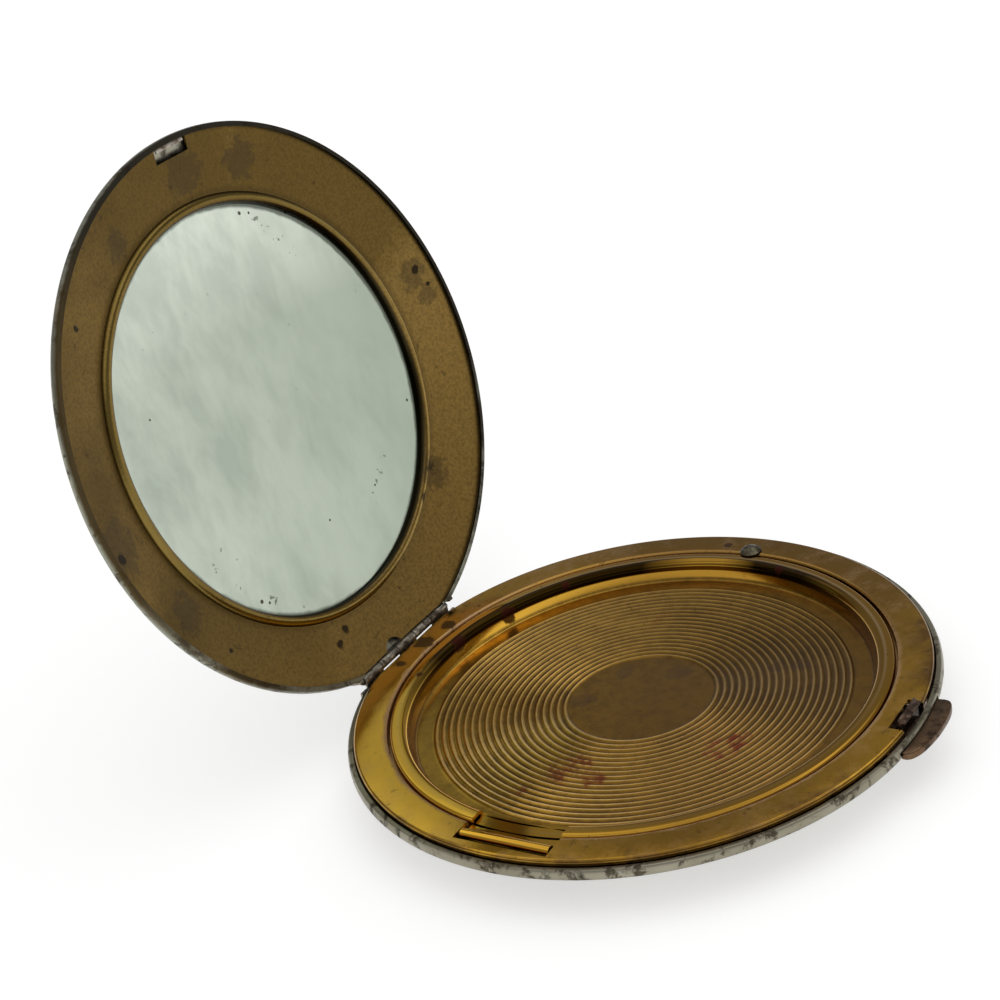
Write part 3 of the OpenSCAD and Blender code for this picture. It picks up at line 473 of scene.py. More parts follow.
def shell_silver(colours):
    """Dull greenish silver of the base shell, pitted and spotted black."""
    t = Tree("shell_silver")
    tone, pits, _ = clouded_silver(t, colours.silver, (0.22, 0.2, 0.14))
    spots = t.cut(t.noise(130.0, 5.0, 0.65, 0.6), 0.6, 0.66)
    tone = t.tint(tone, pits, (0.05, 0.036, 0.02), 0.8)
    tone = t.tint(tone, spots, (0.02, 0.014, 0.009), 0.85)
    return t.finish(tone, t.span(t.most(pits, spots), 0.0, 1.0, 0.32, 0.6))


def lid_silver(colours):
    """Silver of the lid, its rim and inner side tarnished nearly black."""
    t = Tree("lid_silver")
    x, y, z = t.parts(t.in_lid())
    tone, pits, cloud = clouded_silver(t, colours.silver, (0.3, 0.31, 0.25))
    tone = t.tint(tone, pits, (0.055, 0.045, 0.03), t.rise(t.radius(x, y), 30, 37, 0.3, 0.75))
    near_rim = t.rise(t.fray(z, 0.9, t.noise(200.0, 5.0, 0.65)), 0.6, 1.2, 1.0, 0.0)
    clean = t.times(t.rise(y, 8, 24), t.span(cloud, 0.42, 0.55))
    tarnish = t.times(near_rim, t.minus(1.0, t.times(clean, 0.75)))
    rubbed = t.blend(t.rise(x, -18, -32), (0.022, 0.017, 0.01), (0.085, 0.056, 0.02))
    tone = t.tint(tone, tarnish, rubbed, 0.95)
    return t.finish(tone, t.span(t.most(pits, tarnish), 0.0, 1.0, 0.32, 0.55))


def aged_mirror(colours):
    """Pale greenish mirror: slanting haze, fine black specks, painted reflections across it and a
    painted dark reflection round its edge.
    """
    t = Tree("aged_mirror")
    place = t.in_lid()
    x, y, _ = t.parts(place)
    radius = t.radius(x, y)
    haze = t.noise(26.0, 5.0, 0.55, 0.6, t.stretch((1.0, 0.45, 1.0), (0, 0, 0.9), source=place))
    fine = t.noise(190.0, 4.0, 0.6, 0.2, t.stretch((1.0, 0.5, 1.0), (0, 0, 0.9), source=place))
    mix = t.plus(t.times(haze, 0.6), t.times(fine, 0.4))
    tone = t.blend(t.cut(mix, 0.43, 0.57), colours.mirror, (0.4, 0.45, 0.38))
    # Painted reflection: the mirror painted darker towards +x.
    dim_reflection = t.rise(t.lean(x, y, (0.8, 0.25)), -22, 20, 0.0, 0.75)
    tone = t.blend(dim_reflection, tone, (0.34, 0.39, 0.31))
    # Painted reflection: a pale glow painted towards -y.
    glow = t.rise(t.lean(x, y, (-0.1, 0.95)), -10, -26, 0.0, 0.9)
    tone = t.tint(tone, glow, (0.78, 0.84, 0.74), t.span(fine, 0.35, 0.6, 1.0, 0.6))
    # Painted reflection: a dark ring round the glass's edge, wider towards +x, stands in for the
    # frame's bead mirrored in it.
    edge_reflection = t.plus(t.fray(radius, 0.7, t.noise(300.0, 4.0, 0.6)), t.rise(x, 2, 25, 0.0, 0.8 * MM))
    tone = t.tint(tone, t.rise(edge_reflection, 27.55, 27.95), (0.035, 0.04, 0.025), 0.8)
    specks = t.cut(t.noise(760.0, 2.0, 0.6), 0.735, 0.765)
    specks = t.times(specks, t.rise(radius, 20, 27, 0.25, 1.0))
    marks, chain = ([(*mark[:2], GLASS_H, mark[2]) for mark in found]
                    for found in (MIRROR_MARKS, MIRROR_CHAIN))
    dots = t.cut(t.noise(1500.0, 2.0, 0.6), 0.6, 0.64)
    black = t.most(specks, t.spots(marks, 0.25, place),
                   t.times(t.spots(chain, 0.5, place), dots, 0.7))
    tone = t.tint(tone, black, (0.025, 0.018, 0.012), 0.9)
    t.bump((t.noise(110.0, 3.0, 0.5), 0.02, 0.3))
    return t.finish(tone, t.span(mix, 0.3, 0.7, 0.1, 0.2))


def worn_metal(name, colour, dark, grain=500.0):
    """Dull steel or brass of a small part, stained dark."""
    t = Tree(name)
    stain = t.cut(t.noise(grain, 5.0, 0.65, 0.3), 0.42, 0.6)
    tone = t.blend(stain, colour, dark)
    scratch = t.cut(t.noise(1300.0, 3.0, 0.6, 0.0, t.stretch((1.0, 0.15, 1.0))), 0.58, 0.66)
    tone = t.tint(tone, scratch, [min(1.0, 1.5 * c) for c in colour], 0.4)
    t.bump((t.noise(1800.0, 3.0, 0.6), 0.15, 0.03), (stain, 0.12, 0.04))
    return t.finish(tone, t.span(stain, 0.0, 1.0, 0.28, 0.55))


def plain_card():
    """Brown card behind the mirror."""
    t = Tree("backing_card")
    fibre = t.noise(900.0, 6.0, 0.7, 0.0, t.stretch((1.0, 4.0, 1.0)))
    t.bump((fibre, 0.3, 0.05))
    return t.finish(t.blend(fibre, (0.3, 0.22, 0.14), (0.42, 0.33, 0.22)), 0.85, 0.0)


def white_floor():
    """White floor that keeps the object's shadow."""
    t = Tree("white_floor")
    glow = t.times(t.rays()[0], FLOOR_GLOW)
    return t.finish([FLOOR_TONE] * 3, 0.9, 0.0, Specular_IOR_Level=0.1,
                    Emission_Color=(1, 1, 1), Emission_Strength=glow)


def studio_world(studio):
    """White background; above it dimmer walls and a light band for metal to show."""
    t = Tree("studio_world", "worlds")
    seen, camera_ray = t.rays()
    height = t.parts(t.coordinates["Generated"])[2]
    wall, band = studio.wall, studio.ceiling
    tones = zip(TONE_STEPS, (1.0, wall, wall, band, band, wall))
    shown = t.most(t.ramp(height, tones, "EASE"), camera_ray)
    power = t.node("Mix", {"Factor": seen, "A": studio.sky, "B": shown})["Result"]
    background = t.nodes["Background"]
    t.feed(background.inputs["Color"], (1, 1, 1))
    t.feed(background.inputs["Strength"], power)
    return t.owner


def dress(material, *names):
    """Gives CAD nodes their finish."""
    for name in names:
        slots = NODES[name].data.materials
        slots.clear()
        slots.append(material)


# ---------- sections


def arc(centre, radius, start, end, count):
    """Points along an arc; angles in degrees from the outward axis."""
    angles = [math.radians(start + (end - start) * i / count) for i in range(count + 1)]
    return [(centre[0] + radius * math.cos(a), centre[1] + radius * math.sin(a)) for a in angles]


def dish_section(depth):
    """Section of one pressed shell: outside from the middle to the rim, then back inside."""
    turn = depth - RIM_H
    slope = math.radians(UNDER_SLOPE)

    def run(inset):
        low, high = EDGE_ROUND - inset, RIM_ROUND - inset
        touch_r = SHELL_R - EDGE_ROUND + low * math.sin(slope)
        touch_z = turn - low * math.cos(slope)
        flat_r = touch_r - (touch_z - inset) / math.tan(slope)
        points = [(flat_r * k / 6, inset) for k in range(6)]
        for k in range(-4, 5):
            share = k / 4
            r = flat_r + CREASE_W * share
            bend = CREASE_H * (1 - abs(share)) ** 2
            points.append((r, inset + max(0.0, r - flat_r) * math.tan(slope) + bend))
        points += arc((SHELL_R - EDGE_ROUND, turn), low, UNDER_SLOPE - 90, 0, 8)
        end = math.degrees(math.asin(RIM_H / high))
        points += arc((SHELL_R - RIM_ROUND, turn), high, 0, end, 14)[1:]
        return points[:-1], points[-1][0]

    (outside, outer_r), (inside, inner_r) = run(0.0), run(SHELL_WALL)
    low = depth - RIM_EASE
    edge = [(outer_r, low), (outer_r - 0.06, depth), (inner_r + 0.06, depth), (inner_r, low)]
    return outside + edge + inside[::-1]


def deck_section():
    """Section of the deck: lip, flat ring, rounded edge and skirt."""
    under = DECK_Z - DECK_T
    lip, skirt = DECK_Z - LIP_DROP, DECK_Z - SKIRT_DROP
    points = [(OPENING_R, lip)]
    points += arc((OPENING_R + DECK_T, under), DECK_T, 180, 90, 10)
    points += arc((DECK_R - DECK_T, under), DECK_T, 90, 0, 14)
    points += [(DECK_R, skirt), (DECK_R - DECK_T, skirt), (DECK_R - DECK_T, under)]
    points += [(OPENING_R + DECK_T, under), (OPENING_R + DECK_T, lip)]
    return points


def door_section():
    """Section of the powder door: floor with pressed rings, wall, flat rim and flange."""
    low = FLOOR_Z - DOOR_T
    pitch = (RINGS_R - DISC_R) / RING_COUNT
    points = [(0.0, FLOOR_Z), (DISC_R * 0.5, FLOOR_Z), (DISC_R - 0.02, FLOOR_Z)]
    for step in range(RING_COUNT * RING_STEPS):
        ring, k = divmod(step, RING_STEPS)
        u = k / RING_STEPS
        wave = (0.5 - 0.5 * math.cos(2 * math.pi * u)) ** 1.3
        points.append((DISC_R + (ring + u) * pitch, FLOOR_Z + RING_H * wave))
    points += [(RINGS_R, FLOOR_Z), (RINGS_R + 0.5, FLOOR_Z)]
    draft_r = DRAFT_H * math.tan(math.radians(DRAFT))
    fillet_r = FILLET * math.tan(math.radians(45 - DRAFT / 2))
    points += arc((WALL_R - draft_r - fillet_r, FLOOR_Z + FILLET), FILLET, -90, -DRAFT, 10)
    points += [(WALL_R - 0.02, FLOOR_Z + DRAFT_H - 0.07), (WALL_R, FLOOR_Z + DRAFT_H)]
    turn, edge = (TURN_R, RIM_Z - TURN_ROUND), (DOOR_R - RIM_EDGE, RIM_Z - RIM_EDGE)
    points += arc(turn, TURN_ROUND, 180, 90, 16) + arc(edge, RIM_EDGE, 90, 0, 10)
    points += [(DOOR_R, RIM_Z - FLANGE_H), (DOOR_R - DOOR_T, RIM_Z - FLANGE_H)]
    points += arc(edge, RIM_EDGE - DOOR_T, 0, 90, 3) + arc(turn, TURN_ROUND - DOOR_T, 90, 180, 6)
    return points + [(WALL_R + DOOR_T, low), (0.0, low)]


def frame_section():
    """Section of the mirror's frame, seen as in the shut lid: front downwards."""
    points = []
    for k in range(10):
        share = k / 10
        points.append((FRAME_R + (FOOT_R - FRAME_R) * share, EDGE_H + (FOOT_H - EDGE_H) * share))
    points += [(FOOT_R + 0.12, FOOT_H - 0.05), (FOOT_R - 0.05, FOOT_H - 0.04)]
    points += arc((BEAD_R, BEAD_H), BEAD_ROUND, -8, -180, 22)
    end_r, end_h = BEAD_R - BEAD_ROUND, GLASS_H - 0.02
    points += [(end_r, end_h), (end_r + FRAME_T, end_h)]
    points += arc((BEAD_R, BEAD_H), BEAD_ROUND - FRAME_T, -180, -20, 8)
    return points + [(FOOT_R, FOOT_H + FRAME_T), (FRAME_R, EDGE_H + FRAME_T)]


def glass_section():
    """Section of the mirror glass with its ground edge."""
    back, edge = GLASS_H + GLASS_T, GLASS_R - GLASS_EASE
    return [(0.0, GLASS_H), (GLASS_R * 0.5, GLASS_H), (edge, GLASS_H),
            (GLASS_R, GLASS_H + GLASS_EASE), (GLASS_R, back - GLASS_EASE),
            (edge, back), (0.0, back)]


def stud_section():
    """Section of the stud's head: straight side and domed top."""
    low = DECK_Z + 0.02
    dome = (STUD_R ** 2 + STUD_DOME ** 2) / (2 * STUD_DOME)
    reach = math.degrees(math.asin(STUD_R / dome))
    crown = arc((0.0, low + STUD_SIDE + STUD_DOME - dome), dome, 90, 90 - reach, 14)
    return [*crown, (STUD_R, low + STUD_EASE), (STUD_R - STUD_EASE, low), (0.0, low)]


def neck_section():
    """Section of the stud's neck, eased at its lower end."""
    top = DECK_Z + 0.03
    return [(0.0, NECK_Z), (NECK_R - NECK_EASE, NECK_Z), (NECK_R, NECK_Z + NECK_EASE),
            (NECK_R, top), (0.0, top)]


def smooth_line(points, steps):
    """Smooth line through points (a Catmull-Rom curve)."""
    line = []
    for i in range(len(points) - 1):
        a, b, c = points[max(i - 1, 0)], points[i], points[i + 1]
        d = points[min(i + 2, len(points) - 1)]
        for k in range(steps):
            t = k / steps
            line.append(tuple(
                0.5 * (2 * b[n] + (c[n] - a[n]) * t
                       + (2 * a[n] - 5 * b[n] + 4 * c[n] - d[n]) * t ** 2
                       + (3 * b[n] - a[n] - 3 * c[n] + d[n]) * t ** 3) for n in (0, 1)))
    return line + [points[-1]]


# ---------- meshes


def lathe_tree():
    """Geometry Nodes: turns a section once round the axis."""
    tree = bpy.data.node_groups.new("turn_section", "GeometryNodeTree")
    for name, kind in (("Section", "Geometry"), ("Segments", "Int"), ("Guide Radius", "Float"),
                       ("Finish", "Material")):
        tree.interface.new_socket(name, in_out="INPUT", socket_type="NodeSocket" + kind)
    tree.interface.new_socket("Turned", in_out="OUTPUT", socket_type="NodeSocketGeometry")
    entry = tree.nodes.new("NodeGroupInput").outputs

    def step(kind, **inputs):
        """Adds a node, links its inputs and returns its first output."""
        node = tree.nodes.new(kind)
        for name, value in inputs.items():
            tree.links.new(value, node.inputs[name.replace("_", " ")])
        return node.outputs[0] if node.outputs else None

    section = step("GeometryNodeMeshToCurve", Mesh=entry["Section"])
    ring = step("GeometryNodeCurvePrimitiveCircle",
                Resolution=entry["Segments"], Radius=entry["Guide Radius"])
    ring = step("GeometryNodeSetCurveNormal", Curve=ring)
    ring.node.mode = "Z_UP"
    skin = step("GeometryNodeCurveToMesh", Curve=ring, Profile_Curve=section)
    skin = step("GeometryNodeMergeByDistance", Geometry=skin)
    skin.node.inputs["Distance"].default_value = WELD
    skin = step("GeometryNodeRealizeInstances", Geometry=skin)
    skin = step("GeometryNodeSetMaterial", Geometry=skin, Material=entry["Finish"])
    step("NodeGroupOutput", Turned=skin)
    return tree


def place_object(name, mesh):
    """Puts a mesh in the scene as an object."""
    found = bpy.data.objects.new(name, mesh)
    bpy.context.scene.collection.objects.link(found)
    return found


def turned(name, section, segments, material):
    """Turns a section (radius, height in mm) round Z into a mesh object."""
    guide = GUIDE_R * MM
    mesh = bpy.data.meshes.new(name + "_section")
    points = [(r * MM - guide, -z * MM, 0.0) for r, z in section]
    edges = [(i, i + 1) for i in range(len(points) - 1)]
    if section[0][0] > 0:
        edges.append((len(points) - 1, 0))
    mesh.from_pydata(points, edges, [])
    found = place_object(name, mesh)
    tree = bpy.data.node_groups.get("turn_section") or lathe_tree()
    modifier = found.modifiers.new("turn", "NODES")
    modifier.node_group = tree
    keys = {item.name: item.identifier for item in tree.interface.items_tree}
    for key, value in (("Segments", segments), ("Guide Radius", guide), ("Finish", material)):
        modifier[keys[key]] = value
    bake(found, material)
    return found


def outward(work):
    """Points the faces of a closed mesh outwards."""
    bmesh.ops.recalc_face_normals(work, faces=work.faces)
    if work.calc_volume(signed=True) < 0:
        bmesh.ops.reverse_faces(work, faces=work.faces)


def bake(found, material, angle=32.0):
    """Turns an object's modifiers into plain mesh, with outward normals and soft shading."""
    graph = bpy.context.evaluated_depsgraph_get()
    mesh = bpy.data.meshes.new_from_object(found.evaluated_get(graph))
    found.modifiers.clear()
    found.data = mesh
    mesh.name = found.name
    work = bmesh.new()
    work.from_mesh(mesh)
    bmesh.ops.remove_doubles(work, verts=work.verts, dist=WELD)
    middle = [v for v in work.verts if math.hypot(v.co.x, v.co.y) < POLE_R * MM]
    for v in middle:
        v.co.x = v.co.y = 0.0
    bmesh.ops.remove_doubles(work, verts=middle, dist=POLE_R * MM)
    outward(work)
    work.to_mesh(mesh)
    work.free()
    mesh.materials.clear()
    mesh.materials.append(material)
    mesh.shade_smooth()
    mesh.set_sharp_from_angle(angle=math.radians(angle))


def solid(name, points, faces):
    """Object of a closed mesh with outward normals; points in mm."""
    mesh = bpy.data.meshes.new(name)
    mesh.from_pydata([(x * MM, y * MM, z * MM) for x, y, z in points], [], faces)
    work = bmesh.new()
    work.from_mesh(mesh)
    outward(work)
    work.to_mesh(mesh)
    work.free()
    return place_object(name, mesh)


def prism(name, ends):
    """Solid between two outlines that have as many points each."""
    count = len(ends) // 2
    faces = [tuple(range(count)), tuple(range(2 * count - 1, count - 1, -1))]
    faces += [(i, (i + 1) % count, count + (i + 1) % count, count + i) for i in range(count)]
    return solid(name, ends, faces)


def plate(name, outline, low, high, material):
    """Flat outline (x, z) given a width along Y."""
    found = prism(name, [(x, y, z) for y in (low, high) for x, z in outline])
    bake(found, material)
    return found


def box_cutter(low, high):
    """Box between two corners."""
    corners = list(itertools.product(*zip(low, high)))
    faces = [(0, 1, 3, 2), (4, 6, 7, 5), (0, 4, 5, 1), (2, 3, 7, 6), (0, 2, 6, 4), (1, 5, 7, 3)]
    return solid("cutter", corners, faces)


def back_cutter(radius, chord, low, high):
    """Box that cuts a round piece straight along the hinge."""
    return box_cutter((-radius, chord, low), (radius, radius + PAST, high))


def front_cutter(width, radius, edge, low, high):
    """Box that cuts a notch for the latch into a round piece's front."""
    left, right = LATCH_X - width / 2, LATCH_X + width / 2
    return box_cutter((left, -radius - PAST, low), (right, -edge, high))


def round_cutter(centre, radius, low, high, axis, segments):
    """Round bar along Z or Y; centre is in the plane across it."""
    ends = []
    for end in (low, high):
        for i in range(segments):
            angle = 2 * math.pi * i / segments
            u, v = centre[0] + radius * math.cos(angle), centre[1] + radius * math.sin(angle)
            ends.append((u, v, end) if axis == "Z" else (u, end, v))
    return prism("cutter", ends)


def carve(found, material, *cutters):
    """Cuts notches and slots out of a piece."""
    for cutter in cutters:
        modifier = found.modifiers.new("cut", "BOOLEAN")
        modifier.operation = "DIFFERENCE"
        modifier.solver = "EXACT"
        modifier.object = cutter
    bake(found, material)
    for cutter in cutters:
        bpy.data.objects.remove(cutter)


def ease(found, material, width, segments):
    """Rounds the edges of a piece; width in mm."""
    bevel = found.modifiers.new("ease", "BEVEL")
    bevel.width = width * MM
    bevel.segments = segments
    bevel.limit_method = "ANGLE"
    bevel.angle_limit = math.radians(35)
    bevel.use_clamp_overlap = True
    bake(found, material, 40.0)


def piece(found, body, slot, *nodes, turn=None):
    """Hands a finished piece to the body that carries it; turn moves its mesh into place."""
    if turn is not None:
        found.data.transform(turn)
    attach(found, body)
    if nodes:
        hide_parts(*nodes)


def eased(node, material, body, slot, width=0.04):
    """Copy of a CAD node with its edges eased, in place of the node."""
    mesh = NODES[node].data.copy()
    work = bmesh.new()
    work.from_mesh(mesh)
    bmesh.ops.remove_doubles(work, verts=work.verts, dist=WELD)
    flat = math.radians(1.0)
    bmesh.ops.dissolve_limit(work, angle_limit=flat, verts=work.verts, edges=work.edges)
    work.to_mesh(mesh)
    work.free()
    found = place_object(node + "_eased", mesh)
    ease(found, material, width, 2)
    piece(found, body, slot, node)


# ---------- settings


def colour_setting(name, description, default):
    return bpy.props.FloatVectorProperty(
        name=name, description=description, default=default, subtype="COLOR", min=0, max=1)


class CompactFinish(bpy.types.PropertyGroup):
    """Colours of the compact's finishes."""

    # Gold is the lacquer's colour on its painted lit side; the deep gold setting is its painted
    # shaded colour, which the deck and the door use away from the light.
    gold: colour_setting("Gold lacquer", "Colour of the bright gold", (0.82, 0.46, 0.05))
    shaded_gold: colour_setting(
        "Deep gold", "Colour of the lacquer where it lies thicker", (0.36, 0.19, 0.025))
    worn: colour_setting("Worn lacquer", "Colour where the lacquer has worn", (0.42, 0.27, 0.16))
    matt_gold: colour_setting("Matt gold", "Colour of the mirror's frame", (0.185, 0.115, 0.028))
    silver: colour_setting("Shell silver", "Colour of the silvered shells", (0.34, 0.315, 0.24))
    mirror: colour_setting("Mirror", "Tint of the mirror", (0.54, 0.595, 0.5))


class CompactDetail(bpy.types.PropertyGroup):
    """Fineness of the turned pieces."""

    segments: bpy.props.IntProperty(
        name="Segments", description="Steps round each turned piece",
        default=384, min=48, max=512)
    door_segments: bpy.props.IntProperty(
        name="Door segments", description="Steps round the ringed door",
        default=352, min=48, max=400)


class CompactStudio(bpy.types.PropertyGroup):
    """Camera, lamp and world."""

    lens: bpy.props.FloatProperty(
        name="Lens", description="Focal length on a 36 mm sensor", default=72.0, min=20, max=200)
    key: bpy.props.FloatProperty(
        name="Key lamp", description="Power of the overhead lamp",
        default=2.4, min=0, max=50, unit="POWER")
    sky: bpy.props.FloatProperty(
        name="Sky", description="Light of the world on the object", default=0.68, min=0, max=1)
    wall: bpy.props.FloatProperty(
        name="Wall", description="Brightness of the walls that metal shows",
        default=0.28, min=0, max=1)
    ceiling: bpy.props.FloatProperty(
        name="Light band", description="Brightness of the band of light that metal shows",
        default=0.9, min=0, max=1)


# ---------- pieces


class COMPACT_OT_shells(bpy.types.Operator):
    """Turns both pressed shells and silvers them"""

    bl_idname = "compact.shells"
    bl_label = "Shells"

    def execute(self, context):
        finish, steps = context.scene.compact_finish, context.scene.compact_detail.segments
        silver = shell_silver(finish)
        base = turned("base_dish", dish_section(BASE_H), steps, silver)
        carve(base, silver,
              back_cutter(SHELL_R, CHORD_Y, -PAST, BASE_H + PAST),
              front_cutter(WINDOW_W, SHELL_R, HOOK_Y,
                           THUMB_Z - WINDOW_GAP, THUMB_Z + THUMB_T + WINDOW_GAP))
        piece(base, "base", "shell_silver", "base_shell")
        tarnished = lid_silver(finish)
        section = [(r, LID_DEPTH - z) for r, z in dish_section(LID_DEPTH)]
        lid = turned("lid_dish", section, steps, tarnished)
        carve(lid, tarnished, back_cutter(SHELL_R, CHORD_Y, -PAST, LID_DEPTH + PAST))
        piece(lid, "lid", "shell_silver", "lid_shell", turn=IN_LID)
        return {"FINISHED"}


class COMPACT_OT_deck(bpy.types.Operator):
    """Turns the deck, cuts its notches and lacquers it"""

    bl_idname = "compact.deck"
    bl_label = "Deck"

    def execute(self, context):
        finish, steps = context.scene.compact_finish, context.scene.compact_detail.segments
        gold = deck_lacquer(finish)
        deck = turned("deck_ring", deck_section(), steps, gold)
        half = BARREL_LEN / 2 + BARREL_GAP
        top = DECK_Z + PAST
        carve(deck, gold,
              back_cutter(DECK_R, DECK_CHORD_Y, 0, top),
              box_cutter((-NOTCH_X, BARREL_Y - half, DECK_Z - LIP_DROP - PAST),
                         (-OPENING_R + DECK_T + PAST, BARREL_Y + half, top)),
              front_cutter(SLOT_W, DECK_R, SLOT_Y, DECK_Z - SKIRT_DROP - PAST, top),
              front_cutter(WINDOW_W, DECK_R, HOOK_Y, 0, THUMB_Z + THUMB_T + WINDOW_GAP))
        piece(deck, "base", "gold_lacquer", "deck_plate")
        self.ear("pin_ear_left", gold, BARREL_Y - half, -1)
        self.ear("pin_ear_right", gold, BARREL_Y + half, 1)
        dress(gold, "powder_well")
        return {"FINISHED"}

    def ear(self, name, gold, inner, side):
        """One folded ear under the deck that holds the door's pin."""
        outer = inner + side * EAR_LEN
        top = DECK_Z - DECK_T + EAR_INSET
        outline = [(-BARREL_R - AXIS_X, top), (BARREL_R - AXIS_X, top)]
        outline += arc((-AXIS_X, AXIS_Z), BARREL_R - 0.03, 0, -180, 24)
        ear = plate(name, outline, min(inner, outer), max(inner, outer), gold)
        carve(ear, gold, round_cutter((-AXIS_X, AXIS_Z), PIN_BORE, inner - 2, inner + 2, "Y", 32))
        piece(ear, "base", "gold_lacquer")


class COMPACT_OT_door(bpy.types.Operator):
    """Turns the ringed powder door, with its tab and rolled barrel"""

    bl_idname = "compact.door"
    bl_label = "Powder door"

    def execute(self, context):
        finish, steps = context.scene.compact_finish, context.scene.compact_detail.door_segments
        gold = door_lacquer(finish)
        door = turned("ringed_door", door_section(), steps, gold)
        low, high = BARREL_Y - BARREL_LEN / 2, BARREL_Y + BARREL_LEN / 2
        carve(door, gold, box_cutter((-DOOR_R - PAST, low, TAB_Z + DOOR_T),
                                     (-WALL_R + TAB_CUT, high, RIM_Z + PAST)))
        piece(door, "powder_door", "gold_lacquer", "powder_door")
        self.tab(gold, low, high)
        return {"FINISHED"}

    def tab(self, gold, low, high):
        """Tab of the door: a sheet that leaves the wall and rolls up into the barrel."""
        top = TAB_Z + DOOR_T
        outline = [(-WALL_R - TAB_IN, top), *((x, top + rise) for x, rise in TAB_RISE)]
        outline += arc((-AXIS_X, AXIS_Z), BARREL_R, ROLL_START, ROLL_END, 50)
        outline += [(TAB_UNDER_X, TAB_Z), (-WALL_R - TAB_IN, TAB_Z)]
        rolled = plate("rolled_tab", outline, low, high, gold)
        carve(rolled, gold,
              round_cutter((-AXIS_X, AXIS_Z), PIN_BORE, low - PAST, high + PAST, "Y", 40),
              round_cutter((0.0, 0.0), WALL_R + 0.2, 0, DECK_Z + PAST, "Z", 256))
        piece(rolled, "powder_door", "gold_lacquer")


class COMPACT_OT_mirror(bpy.types.Operator):
    """Turns the mirror's frame and glass, and cuts the frame's notches"""

    bl_idname = "compact.mirror"
    bl_label = "Mirror"

    def execute(self, context):
        finish, steps = context.scene.compact_finish, context.scene.compact_detail.segments
        matt = frame_lacquer(finish)
        ring = turned("mirror_ring", frame_section(), steps, matt)
        carve(ring, matt,
              back_cutter(FRAME_R, FRAME_CHORD_Y, -PAST, LID_DEPTH),
              front_cutter(BAR_NOTCH_W, FRAME_R, BAR_NOTCH_Y, -PAST, LID_DEPTH),
              round_cutter(LIFT_AT, LIFT_R, -PAST, LID_DEPTH, "Z", 64))
        piece(ring, "lid", "gold_lacquer", "mirror_frame", turn=IN_LID)
        glass = turned("mirror_disc", glass_section(), steps, aged_mirror(finish))
        piece(glass, "lid", "mirror", "mirror_glass", turn=IN_LID)
        dress(plain_card(), "mirror_card")
        return {"FINISHED"}


class COMPACT_OT_metalwork(bpy.types.Operator):
    """Finishes the hinges, pins, springs, latch and catch, and eases their edges"""

    bl_idname = "compact.metalwork"
    bl_label = "Metalwork"

    def execute(self, context):
        leaf = worn_metal("hinge_metal", (0.36, 0.33, 0.27), (0.07, 0.05, 0.035))
        eased("base_hinge_leaf", leaf, "base", "steel")
        eased("lid_hinge_leaf", leaf, "lid", "steel")
        pale = worn_metal("bar_metal", (0.4, 0.36, 0.3), (0.16, 0.11, 0.08))
        eased("catch_bar", pale, "lid", "steel")
        dark = worn_metal("dark_steel", (0.12, 0.1, 0.08), (0.03, 0.022, 0.018))
        eased("hinge_pin", dark, "base", "dark_steel")
        eased("door_hinge_pin", dark, "base", "dark_steel")
        eased("thumb_rivet", dark, "latch", "dark_steel", 0.03)
        spring = worn_metal("spring_steel", (0.4, 0.39, 0.37), (0.16, 0.14, 0.12))
        dress(spring, "latch_spring", "catch_spring")
        eased("latch_guide", spring, "base", "steel")
        eased("catch_slide", spring, "door_catch", "steel")
        brown = worn_metal("latch_brown", (0.16, 0.11, 0.075), (0.045, 0.026, 0.02), 700.0)
        eased("latch_hook", brown, "latch", "latch_metal", 0.06)
        self.thumb(worn_metal("thumb_brown", (0.15, 0.092, 0.05), (0.05, 0.03, 0.018), 420.0))
        self.stud(worn_metal("stud_metal", (0.13, 0.115, 0.075), (0.03, 0.022, 0.016), 900.0))
        return {"FINISHED"}

    def thumb(self, metal):
        """Crescent thumb piece, rubbed round; its hollow side stands in the shell's window."""
        outline = smooth_line(THUMB_LINE, 5)
        start, end = THUMB_ENDS
        for k in range(25):
            x = start + (end - start) * k / 24
            outline.append((x, math.sqrt(THUMB_IN_R ** 2 - x ** 2)))
        crescent = plate("thumb_crescent", outline, THUMB_Z, THUMB_Z + THUMB_T, metal)
        crescent.data.transform(Matrix.Rotation(math.radians(90), 4, "X"))
        ease(crescent, metal, THUMB_EASE, 4)
        piece(crescent, "latch", "latch_metal", "thumb_piece")

    def stud(self, metal):
        """Domed stud that is pushed outwards to free the door."""
        head = turned("stud_head", stud_section(), 96, metal)
        piece(head, "door_catch", "dark_steel", "catch_stud",
              turn=Matrix.Translation((STUD_X * MM, 0, 0)))
        neck = turned("stud_neck", neck_section(), 48, metal)
        piece(neck, "door_catch", "dark_steel", turn=Matrix.Translation((NECK_X * MM, 0, 0)))


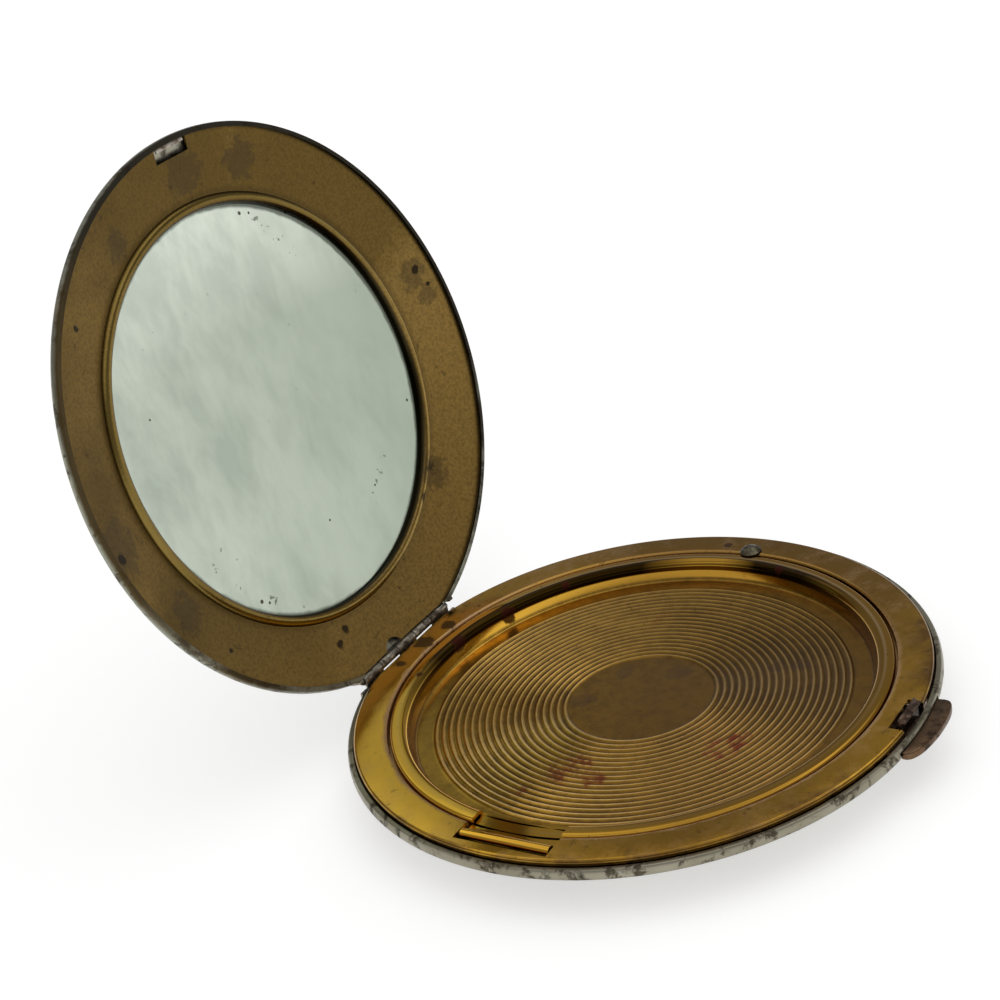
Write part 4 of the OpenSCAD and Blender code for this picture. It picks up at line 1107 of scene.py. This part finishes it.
class COMPACT_OT_studio(bpy.types.Operator):
    """Makes the floor, the lamp, the world and the camera"""

    bl_idname = "compact.studio"
    bl_label = "Studio"

    def execute(self, context):
        studio, scene = context.scene.compact_studio, context.scene
        mesh = bpy.data.meshes.new("floor")
        reach = FLOOR_REACH
        corners = [(-reach, -reach, 0), (reach, -reach, 0), (reach, reach, 0), (-reach, reach, 0)]
        mesh.from_pydata(corners, [], [(0, 1, 2, 3)])
        mesh.materials.append(white_floor())
        floor = place_object("floor", mesh)
        scene.world = studio_world(studio)
        self.lamp(studio.key)
        self.camera(scene, studio.lens)
        scene.view_settings.view_transform = "Standard"
        return {"FINISHED"}

    def lamp(self, power):
        """Square soft lamp over the compact, turned towards its middle."""
        data = bpy.data.lights.new("key_lamp", "AREA")
        data.energy = power
        data.size = LAMP_SIDE
        lamp = place_object("key_lamp", data)
        lamp.location = LAMP_AT
        lamp.rotation_euler = (-Vector(LAMP_AT)).to_track_quat("-Z", "Y").to_euler()

    def camera(self, scene, lens):
        """Camera of the photograph."""
        data = bpy.data.cameras.new("camera")
        data.lens = lens
        data.sensor_width = 36.0
        data.clip_start = 0.01
        camera = place_object("camera", data)
        axes = Matrix((CAMERA_RIGHT, CAMERA_UP, -Vector(CAMERA_AHEAD)))
        place = axes.transposed().to_4x4()
        place.translation = Vector(CAMERA_AT) * MM
        camera.matrix_world = place
        scene.camera = camera


class COMPACT_PT_panel(bpy.types.Panel):
    """Lists the compact's settings and pieces"""

    bl_idname = "COMPACT_PT_panel"
    bl_label = "Compact"
    bl_space_type = "VIEW_3D"
    bl_region_type = "UI"
    bl_category = "Compact"

    def draw(self, context):
        for group_name in GROUPS:
            group, box = getattr(context.scene, group_name), self.layout.box()
            for name in group.bl_rna.properties.keys():
                if name not in ("rna_type", "name"):
                    box.prop(group, name)
        for operator in OPERATORS:
            self.layout.operator(operator.bl_idname)


OPERATORS = (
    COMPACT_OT_shells,
    COMPACT_OT_deck,
    COMPACT_OT_door,
    COMPACT_OT_mirror,
    COMPACT_OT_metalwork,
    COMPACT_OT_studio,
)
GROUPS = {
    "compact_finish": CompactFinish,
    "compact_detail": CompactDetail,
    "compact_studio": CompactStudio,
}
CLASSES = (*GROUPS.values(), *OPERATORS, COMPACT_PT_panel)


def register():
    for item in CLASSES:
        bpy.utils.register_class(item)
    for name, group in GROUPS.items():
        setattr(bpy.types.Scene, name, bpy.props.PointerProperty(type=group))


def unregister():
    for name in GROUPS:
        delattr(bpy.types.Scene, name)
    for item in reversed(CLASSES):
        bpy.utils.unregister_class(item)


def main():
    register()
    for operator in OPERATORS:
        getattr(bpy.ops.compact, operator.bl_idname.split(".")[1])()


if __name__ == "__main__":
    main()
